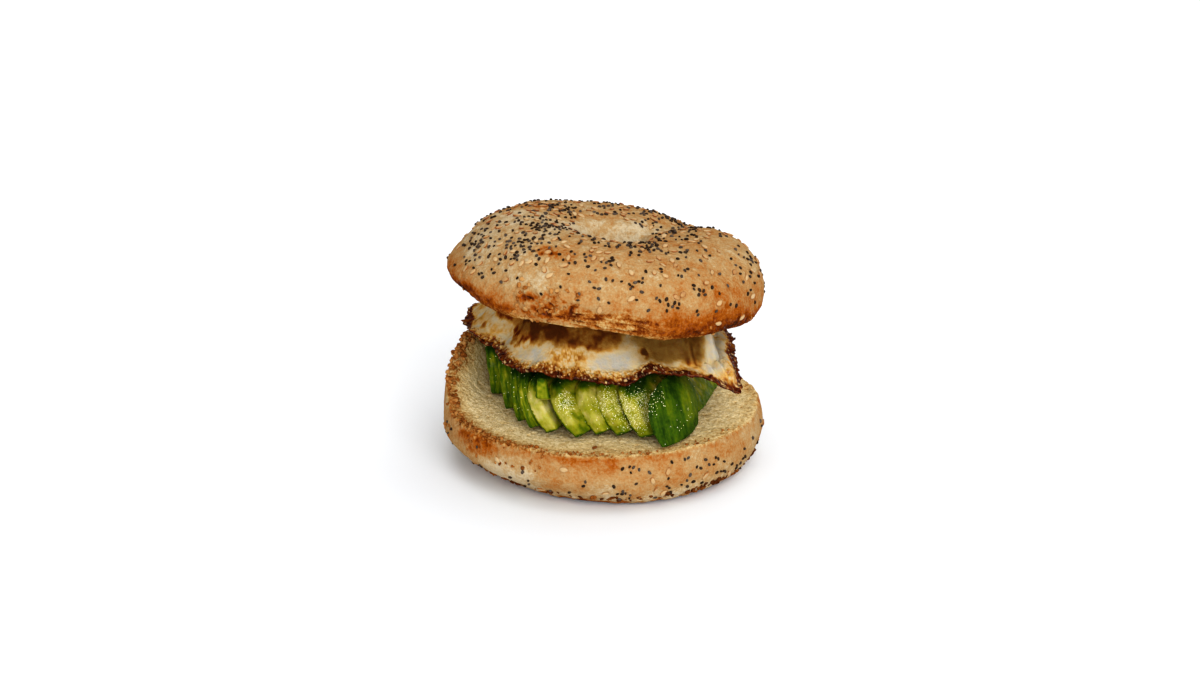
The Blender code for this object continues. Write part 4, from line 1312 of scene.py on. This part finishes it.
def egg_tones(p, egg):
    """The marks of the finish: how fried and how lacy each point is, and its painted glint and painted shade.
    """
    x, y, _ = p.T
    wide = 2.5 + 1.1 * ease(6.0, 16.0, x) + ease(-35.0, -41.0, x) * (2.4 * ease(7.0, 12.0, y) - 1.4)
    crisp = ease(wide + 0.6, wide - 0.6, egg.way + 0.9 * egg.wander)
    corner = near(p, (43.5, -26.0, 39.0), (8.0, 12.0, 8.0)) ** 0.6
    whites = np.maximum.reduce([
        near(p, (5.0, -31.0, 46.0), (12.0, 9.0, 5.5)) ** 0.5,
        0.8 * near(p, (-22.0, -26.0, 46.0), (10.0, 9.0, 4.5)) ** 0.7,
        0.75 * near(p, (39.0, -21.0, 46.0), (7.0, 18.0, 12.0)) ** 0.4,
    ])
    flap = 0.8 * ease(0.12, 0.4, near(p, (46.0, -13.0, 40.0), (6.0, 15.0, 9.0)) + 0.1 * egg.wander)
    dusk, shade = egg_shadows(p, egg)
    net = near(p, (-11.0, -29.0, 46.8), (12.0, 9.0, 4.0)) ** 0.7
    plain = 1.0 - whites + 0.3 * ease(-31.0, -36.0, x)
    fry = 0.20 * plain + (0.06 + 0.12 * plain) * rough(p, 3.6, 86.0)
    fry += (0.04 + 0.12 * plain) * rough(p, 1.4, 46.0)
    fry += corner * (0.20 + 0.34 * rough(p, 1.6, 48.0)) + net * (0.04 + 0.30 * ease(0.3, 0.05, egg.room))
    gold = egg.lace * (0.05 + 0.18 * egg.draw + 0.30 * ease(0.25, 0.02, egg.room))
    edge_tone = 0.66 + 0.36 * ease(0.1, 0.9, egg.draw) + 0.12 * rough(p, 1.2, 88.0)
    # The dusk browns the fried colour as well: painted shade.
    fry = np.maximum.reduce([fry + gold, edge_tone * crisp, *egg_browns(p, egg, whites), flap,
                             (0.44 + 0.12 * rough(p, 2.4, 49.0)) * dusk])
    # Lighter bubble tops: thin walls, and partly a painted highlight.
    fry -= 0.42 * egg.lace * ease(0.32, 0.12, egg.bubble) * ease(0.45, 0.75, egg.draw)
    fry = np.where(egg.side < -0.5, np.maximum(0.3, 0.95 * ease(0.86, 0.96, egg.t)), fry)
    tiny, _, tiny_draw = cells(p, 0.85, 84.0)
    # Painted glints: small light points on the lace and the golden net.
    glint = np.maximum(egg.lace, 0.7 * net) * ease(0.42, 0.2, tiny) * ease(0.5, 0.62, tiny_draw)
    return {"fry": np.clip(fry, 0.0, 1.0), "lace": np.maximum.reduce([egg.lace, flap, corner]),
            "glint": glint, "shade": shade}


def make_egg():
    grid = egg_grid()
    rings = grid[:, :, :3]
    mesh = mesh_from_rings("egg_sheet", rings, rings[0].mean(axis=0), rings[-1].mean(axis=0))
    p = points_of(mesh)
    egg = egg_measures(grid, p)
    raise_skin(mesh, egg_relief(p, egg))
    place_points(mesh, points_of(mesh) + ragged_edge(p, egg))
    keep(mesh, **egg_tones(p, egg))
    return mesh


# %% [markdown]
# ## Finish of the egg
#
# One ramp runs from the white over cream, gold and orange brown to the almost black crisp. The
# painted half-shadow and the painted glints are mixed over it. Fat gives the lace a thin coat in patches,
# and a little light passes into the white.

# %% Egg finish
# Painted colours mixed over the egg: the half-shadow and the glints.
HALF_SHADOW = (0.045, 0.026, 0.006)
PAINTED_GLINT = (0.80, 0.56, 0.24)


def egg_finish():
    material, shader, wire = start_material("egg_skin", 0.4, subsurface_weight=0.1, subsurface_scale=0.002,
                                            specular_ior_level=0.0, coat_roughness=0.15)
    fry = wire.mark("fry") + (wire.speckle(1.6, 5.0, 0.65) - 0.5) * 0.34
    colour = fry.ramp(
        (0.0, (0.42, 0.395, 0.33)), (0.18, (0.54, 0.42, 0.225)), (0.36, (0.49, 0.27, 0.060)),
        (0.54, (0.28, 0.100, 0.012)), (0.75, (0.12, 0.022, 0.004)), (1.0, (0.036, 0.006, 0.003)))
    # Painted shade and painted glints over the fried colour.
    colour = wire.mark("shade").mix(colour, HALF_SHADOW)
    colour = wire.mark("glint").mix(colour, PAINTED_GLINT)
    wire.feed(shader.inputs["Base Color"], colour)
    wire.feed(shader.inputs["Roughness"], fry.between(0.1, 0.8, 0.48, 0.3))
    lace = wire.mark("lace")
    wire.feed(shader.inputs["Coat Weight"], wire.speckle(0.9).between(0.52, 0.58) * (0.04 + lace * 0.7))
    small = wire.bump(wire.speckle(0.9, 4.0, 0.6), 0.3)
    wire.feed(shader.inputs["Normal"], wire.bump(wire.bubbles(0.9) * lace, 0.6, small))
    return material


add_piece("egg_sheet", make_egg(), egg_finish(), "egg_white", "fried_egg")

# %% [markdown]
# ## Avocado slices
#
# A ripe half was cut into plates and fanned out, so each plate leans on the next. The solids are right
# but sharp. Each is copied, its points are made even by a voxel remesh, and two rounds of smoothing give
# it the soft edge of ripe flesh.

# %% Sizes of the slices
SLICE_THICKNESS = 4.7
SLICE_FLOOR = 20.75
SLICE_SLIDE = 5.0
# The voxel and the rounds of smoothing of the slices, the end piece and the broken corner.
SLICE_SOFTNESS = (0.5, 2)
END_SOFTNESS = (0.34, 8)
CORNER_SOFTNESS = (0.22, 5)
# Tip, lean and heading as in the solid. Then how yellow the flesh is on the left and on the right of the
# front edge, how wide the left part is, and how far the right corner is cut back.
SLICE_ROWS = (
    ((-33.0, 1.0), 8.0, 0.0, 0.33, 0.06, 0.8, 1.0),
    ((-27.5, -14.0), 12.0, 5.0, 0.37, 0.06, 1.0, 1.2),
    ((-22.8, -25.5), 16.0, 9.0, 0.33, 0.05, 0.9, 1.4),
    ((-18.8, -32.5), 20.0, 13.0, 0.38, 0.10, 1.4, 2.0),
    ((-13.3, -37.0), 26.0, 18.0, 0.87, 0.66, 3.8, 3.2),
    ((-4.0, -41.5), 34.0, 25.0, 0.67, 0.56, 1.4, 4.4),
    ((2.8, -39.5), 30.0, 31.0, 0.78, 0.70, 1.2, 4.2),
    ((9.3, -40.2), 28.0, 34.0, 0.71, 0.63, 1.2, 4.0),
    ((17.0, -42.6), 27.0, 36.0, 0.72, 0.62, 1.2, 3.8),
    ((34.0, -22.0), 34.0, 15.0, 0.56, 0.40, 1.6, 1.0),
)
print("slices:", len(SLICE_ROWS))


def slice_axes(tip, lean, heading):
    """The foot's corner of a slice and its axes: along the foot, up the face and out of the face."""
    t = math.radians(heading)
    a = math.radians(lean)
    along = Vector((math.sin(t), math.cos(t), 0.0))
    out = Vector((math.cos(t), -math.sin(t), 0.0)) * math.cos(a) + Vector((0.0, 0.0, math.sin(a)))
    up = out.cross(along)
    if up.z < 0.0:
        up = -up
    return np.array((*tip, SLICE_FLOOR)), np.array(along), np.array(up), np.array(out)


def soften(name, node, voxel, rounds):
    """A copy of a node's mesh with even points and rounded edges."""
    copy = bpy.data.objects.new(name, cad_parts[node].data.copy())
    bpy.context.scene.collection.objects.link(copy)
    even = copy.modifiers.new("even", "REMESH")
    even.mode = "VOXEL"
    even.voxel_size = voxel * MM
    smooth = copy.modifiers.new("smooth", "SMOOTH")
    smooth.factor = 0.5
    smooth.iterations = rounds
    mesh = bpy.data.meshes.new_from_object(copy.evaluated_get(bpy.context.evaluated_depsgraph_get()))
    bpy.data.objects.remove(copy)
    mesh.materials.clear()
    return mesh


def slant(points):
    """The fan has slid: its middle slices lean to the left in front, more the higher a point lies."""
    x, y, z = points.T
    reach = SLICE_SLIDE * ease(-34.0, -12.0, x) * ease(24.0, 10.0, x)
    shift = reach * np.clip((z - SLICE_FLOOR) / 16.0, 0.0, 1.2) * ease(-14.0, -30.0, y)
    return points - shift[:, None] * np.array((1.0, 0.0, 0.0))


# %% [markdown]
# ## Making a slice
#
# Every point of a slice is measured along its foot, up its face and into its thickness. The right corner
# of its front edge is cut back a little, the fan slides to the left in front, and the flesh gets shallow
# knife marks and dents. The same measures say how yellow it is: less at the foot. Painted shade darkens it
# high up under the egg and at its right edge beside the next slice, and where a face looks down it is
# darker too, partly the green of the peel side and partly painted shade.

# %% Making a slice
def slice_ripeness_and_shade(p, row, run, rise, depth, normals):
    """How yellow the flesh is, 0 dark green and 1 butter yellow, with painted shade under the egg in it."""
    left, right, border = row[3:6]
    wander = 0.6 * rough(p, 4.0, 91.0) + 0.35 * rough(p, 1.4, 92.0)
    high = p[:, 2] + wander
    ripe = left + (right - left) * ease(border - 0.7, border + 0.7, depth + wander)
    ripe -= (0.08 + 0.30 * ripe) * ease(8.5, 1.0, rise + 1.5 * wander)
    # Painted shade at the right edge, beside the next slice.
    ripe -= 0.07 * ease(3.9, 4.7, depth + 0.4 * wander) * ease(7.0, 3.0, run)
    # Painted shade high up under the egg, strongest at the top right of the last broad slice. The pale slice
    # also gets darker towards its top.
    ripe *= 1.0 - 0.75 * ease(34.0, 37.6, high)
    ripe -= 0.25 * ease(35.0, 38.0, high) + 0.36 * ease(0.85, 0.9, left) * ease(29.0, 33.5, high)
    ripe -= 0.7 * near(p, (17.5, -34.0, 38.5), (8.0, 11.0, 8.0))
    ripe += 0.24 * (1.0 - float(ease(0.6, 0.5, left))) * rough(p, 2.6, 99.0)
    ripe += 0.12 * rough(p, 3.2, 96.0) + 0.06 * rough(p, 1.2, 97.0)
    # Darker where a face looks down: partly the green of the peel side, partly painted shade.
    ripe = np.where(ripe > 0.12, ripe - (ripe - 0.12) * ease(-0.1, -0.5, normals[:, 2]), ripe)
    return np.clip(ripe, 0.0, 1.0)


def make_slice(index):
    tip, lean, heading, left, _, _, carve = SLICE_ROWS[index]
    mesh = soften("slice", "avocado_slice_%02d" % (index + 1), *SLICE_SOFTNESS)
    origin, along, up, out = slice_axes(tip, lean, heading)
    p = points_of(mesh)
    offset = p - origin
    run, rise, depth = offset @ along, offset @ up, offset @ out
    across = np.clip(depth / SLICE_THICKNESS, 0.0, 1.0)
    back = 0.4 * carve * across * ease(12.0, 0.0, run)
    lift = carve * across ** 1.5 * ease(9.0, 1.0, run) * ease(8.0, 1.0, rise)
    place_points(mesh, slant(p + back[:, None] * along + lift[:, None] * up))
    normals = normals_of(mesh)
    dents = 0.1 + 0.36 * rough(p, 5.5, 94.0 + index) + 0.18 * rough(p, 1.8, 95.0)
    marks = 0.12 * rough(np.stack([run * 0.25, rise, 0.0 * rise], axis=1), 1.1, 93.0)
    pressed = 0.42 * ease(0.5, 0.8, np.abs(normals @ out)) * ease(0.6, 0.7, left) * ease(3.0, 7.0, rise)
    raise_skin(mesh, dents + marks + pressed)
    fibre = (0.18 + 0.82 * float(ease(0.6, 0.5, left))) * ease(38.0, 35.0, p[:, 2])
    keep(mesh, ripe=slice_ripeness_and_shade(p, SLICE_ROWS[index], run, rise, depth, normals), depth=depth,
         wet=np.full(len(p), 0.2 + 0.8 * ease(0.3, 0.8, left)), along=0.1 * (run + rise), fibre=fibre)
    return mesh


# %% [markdown]
# ## Finish of the avocado
#
# Just under the peel the flesh is dark green, then it turns bright green and, towards the stone, butter
# yellow, so one mark is enough: how yellow it is. The same mark also carries painted shade under the egg
# and between the slices. Fine fibres run along a slice and show most on the dark green edges at the left,
# so their noise is stretched along the slice. Cut avocado is wet: it gets a low roughness, a thin coat in
# patches and a little light that passes into it.

# %% Avocado finish
def avocado_finish():
    material, shader, wire = start_material(
        "avocado_flesh_wet", 0.34, subsurface_weight=0.08, subsurface_scale=0.002,
        specular_ior_level=0.02, coat_roughness=0.12)
    cloud = (wire.speckle(2.8, 5.0, 0.62) - 0.5) * 0.4 + (wire.speckle(0.8, 2.0) - 0.5) * 0.2
    grown = wire.node("ShaderNodeCombineXYZ", {}, {"X": wire.mark("depth"), "Y": wire.mark("along")})
    fibres = wire.node("ShaderNodeTexNoise", {}, {
        "Vector": grown, "Scale": 1.0, "Detail": 3.0, "Roughness": 0.6})
    ripe = wire.mark("ripe") + cloud + (fibres - 0.5) * wire.mark("fibre") * 1.45
    flesh = ripe.ramp(
        (0.0, (0.010, 0.030, 0.002)), (0.2, (0.038, 0.080, 0.003)), (0.42, (0.106, 0.142, 0.003)),
        (0.62, (0.25, 0.245, 0.012)), (0.82, (0.38, 0.345, 0.060)), (1.0, (0.49, 0.42, 0.15)))
    wire.feed(shader.inputs["Base Color"], flesh)
    wet = wire.mark("wet")
    film = wire.speckle(1.2).between(0.3, 0.7, 0.24, 0.42)
    wire.feed(shader.inputs["Roughness"], film + (1.0 - wet) * 0.3)
    wire.feed(shader.inputs["Coat Weight"], wet * wire.speckle(1.6, 3.0).between(0.55, 0.62, 0.0, 0.5))
    small = wire.bump(wire.speckle(0.6, 3.0), 0.14)
    wire.feed(shader.inputs["Normal"], wire.bump(wire.speckle(2.0), 0.3, small))
    return material


avocado_look = avocado_finish()
slices = []
for number in range(1, len(SLICE_ROWS) + 1):
    slices.append(add_piece("slice_%02d" % number, make_slice(number - 1), avocado_look, "avocado_flesh",
                            "avocado_slice_%02d" % number))

# %% [markdown]
# ## End piece and broken corner
#
# The rounded end lies with its peel side out: deep green, with a lighter stripe where the knife took
# the peel off more thickly. The broken corner is a chip of flesh with a rim of green.

# %% End piece and broken corner
CAP_STRIPE = 30.0


def make_end():
    mesh = soften("end", "avocado_end", *END_SOFTNESS)
    p = points_of(mesh)
    x, _, z = p.T
    wander = 0.8 * rough(p, 4.0, 101.0) + 0.3 * rough(p, 1.5, 102.0)
    stripe = hump(x + 0.25 * (z - 30.0) + wander, CAP_STRIPE, 4.2) * ease(22.5, 28.0, z)
    streak = 0.35 * hump(x + 0.25 * (z - 30.0) + wander, CAP_STRIPE - 6.5, 2.6)
    light = np.clip(0.8 * stripe + streak, 0.0, 1.0)
    raise_skin(mesh, 0.25 * rough(p, 6.0, 103.0) + 0.08 * rough(p, 1.8, 104.0))
    ripe = 0.12 + 0.34 * light + 0.05 * wander - 0.12 * ease(33.0, 39.0, z)
    keep(mesh, ripe=np.clip(ripe, 0.0, 1.0), wet=np.full(len(p), 0.05), depth=x + 0.25 * z, along=0.1 * z,
         fibre=np.full(len(p), 0.35))
    return mesh


def make_scrap():
    mesh = soften("scrap", "avocado_scrap", *CORNER_SOFTNESS)
    p = points_of(mesh)
    place_points(mesh, 0.5 * (p + slant(p)))
    low, high = p.min(axis=0), p.max(axis=0)
    across = np.abs((p[:, 0] - low[0]) / (high[0] - low[0]) - 0.5) * 2.0
    up = (p[:, 2] - low[2]) / (high[2] - low[2])
    wander = 0.12 * rough(p, 1.6, 106.0)
    skin = np.maximum(ease(0.62, 0.95, across + wander), ease(0.8, 0.97, up + wander)) * ease(0.06, 0.2, up)
    raise_skin(mesh, 0.14 * rough(p, 2.0, 107.0))
    ripe = 0.46 - 0.4 * skin + 0.3 * ease(0.16, 0.06, up) * ease(0.9, 0.6, across) + 1.5 * wander
    keep(mesh, ripe=np.clip(ripe, 0.0, 1.0), wet=np.full(len(p), 0.5))
    return mesh


slices.append(add_piece("end_piece", make_end(), avocado_look, "avocado_flesh", "avocado_end"))
add_piece("broken_corner", make_scrap(), avocado_look, "avocado_flesh", "avocado_scrap")

# %% [markdown]
# ## Beads on the avocado
#
# Salt has drawn water out of the cut flesh, so tiny wet beads lie on it, thickest on the middle slices and
# in the valley beside the end piece, on faces turned to the front. Their pale colour is painted sparkle.
# Each bead is laid on a point of a slice's mesh.

# %% Beads
BEAD_COUNT = 1950
# The side the beads are laid on: towards the front and a little up, where their painted sparkle shows.
BEAD_SIDE = np.array((0.0, -0.94, 0.33))
END_PIECE_SHARE = 0.25
BEAD_DRIFTS = (
    ((3.0, -38.0, 33.0), (8.0, 10.0, 8.0), 1.0), ((13.0, -38.0, 31.0), (10.0, 10.0, 10.0), 1.0),
    ((17.0, -36.0, 34.0), (6.0, 9.0, 7.0), 0.5), ((-11.0, -37.0, 33.0), (5.0, 9.0, 5.0), 1.3),
    ((-25.0, -15.0, 30.0), (10.0, 20.0, 10.0), 0.06), ((27.0, -36.0, 27.0), (8.0, 9.0, 9.0), 0.06),
)


def bead_copies(pieces, count, seed):
    draw = random.Random(seed)
    places = np.vstack([points_of(piece.data) for piece in pieces])
    shares = [END_PIECE_SHARE if piece.name == "end_piece" else 1.0 for piece in pieces]
    cut_face = np.repeat(shares, [len(piece.data.vertices) for piece in pieces])
    normals = np.vstack([normals_of(piece.data) for piece in pieces])
    facing = ease(-0.1, 0.5, normals @ BEAD_SIDE)
    thick = 0.004 + sum(share * near(places, middle, reach) for middle, reach, share in BEAD_DRIFTS)
    weight = facing * cut_face * thick
    copies = []
    for index in draw.choices(range(len(places)), weights=weight.tolist(), k=count):
        size = draw.uniform(0.18, 0.5) * draw.uniform(0.7, 1.0)
        turn = frame_on(Vector(normals[index]), draw.uniform(0.0, 6.0))
        scale = (size, size * draw.uniform(0.6, 1.0), size * 0.6)
        copies.append((Vector(places[index]), turn, scale, draw.random()))
    return copies


def bead_sparkle_finish():
    material, shader, wire = start_material("bead_painted_sparkle", 0.2, specular_ior_level=0.15)
    # Pale yellow to near white: painted sparkle.
    tone = wire.mark("draw") + wire.speckle(0.6) * 0.2
    colour = tone.ramp((0.0, (0.58, 0.58, 0.15)), (0.5, (0.92, 0.88, 0.40)), (1.0, (1.0, 0.98, 0.74)))
    wire.feed(shader.inputs["Base Color"], colour)
    return material


beads = many("wet_beads", ball(1), bead_copies(slices, BEAD_COUNT, 61))
add_piece("wet_beads", beads, bead_sparkle_finish(), "avocado_flesh")

# %% [markdown]
# ## Triangles counted
#
# The triangles of all the dressed pieces are counted and printed.

# %% Finish
pieces = [thing for thing in bpy.data.objects
          if thing.type == "MESH" and thing.name != "floor" and thing.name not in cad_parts]
print("triangles in all:", sum(len(face.vertices) - 2 for piece in pieces for face in piece.data.polygons))
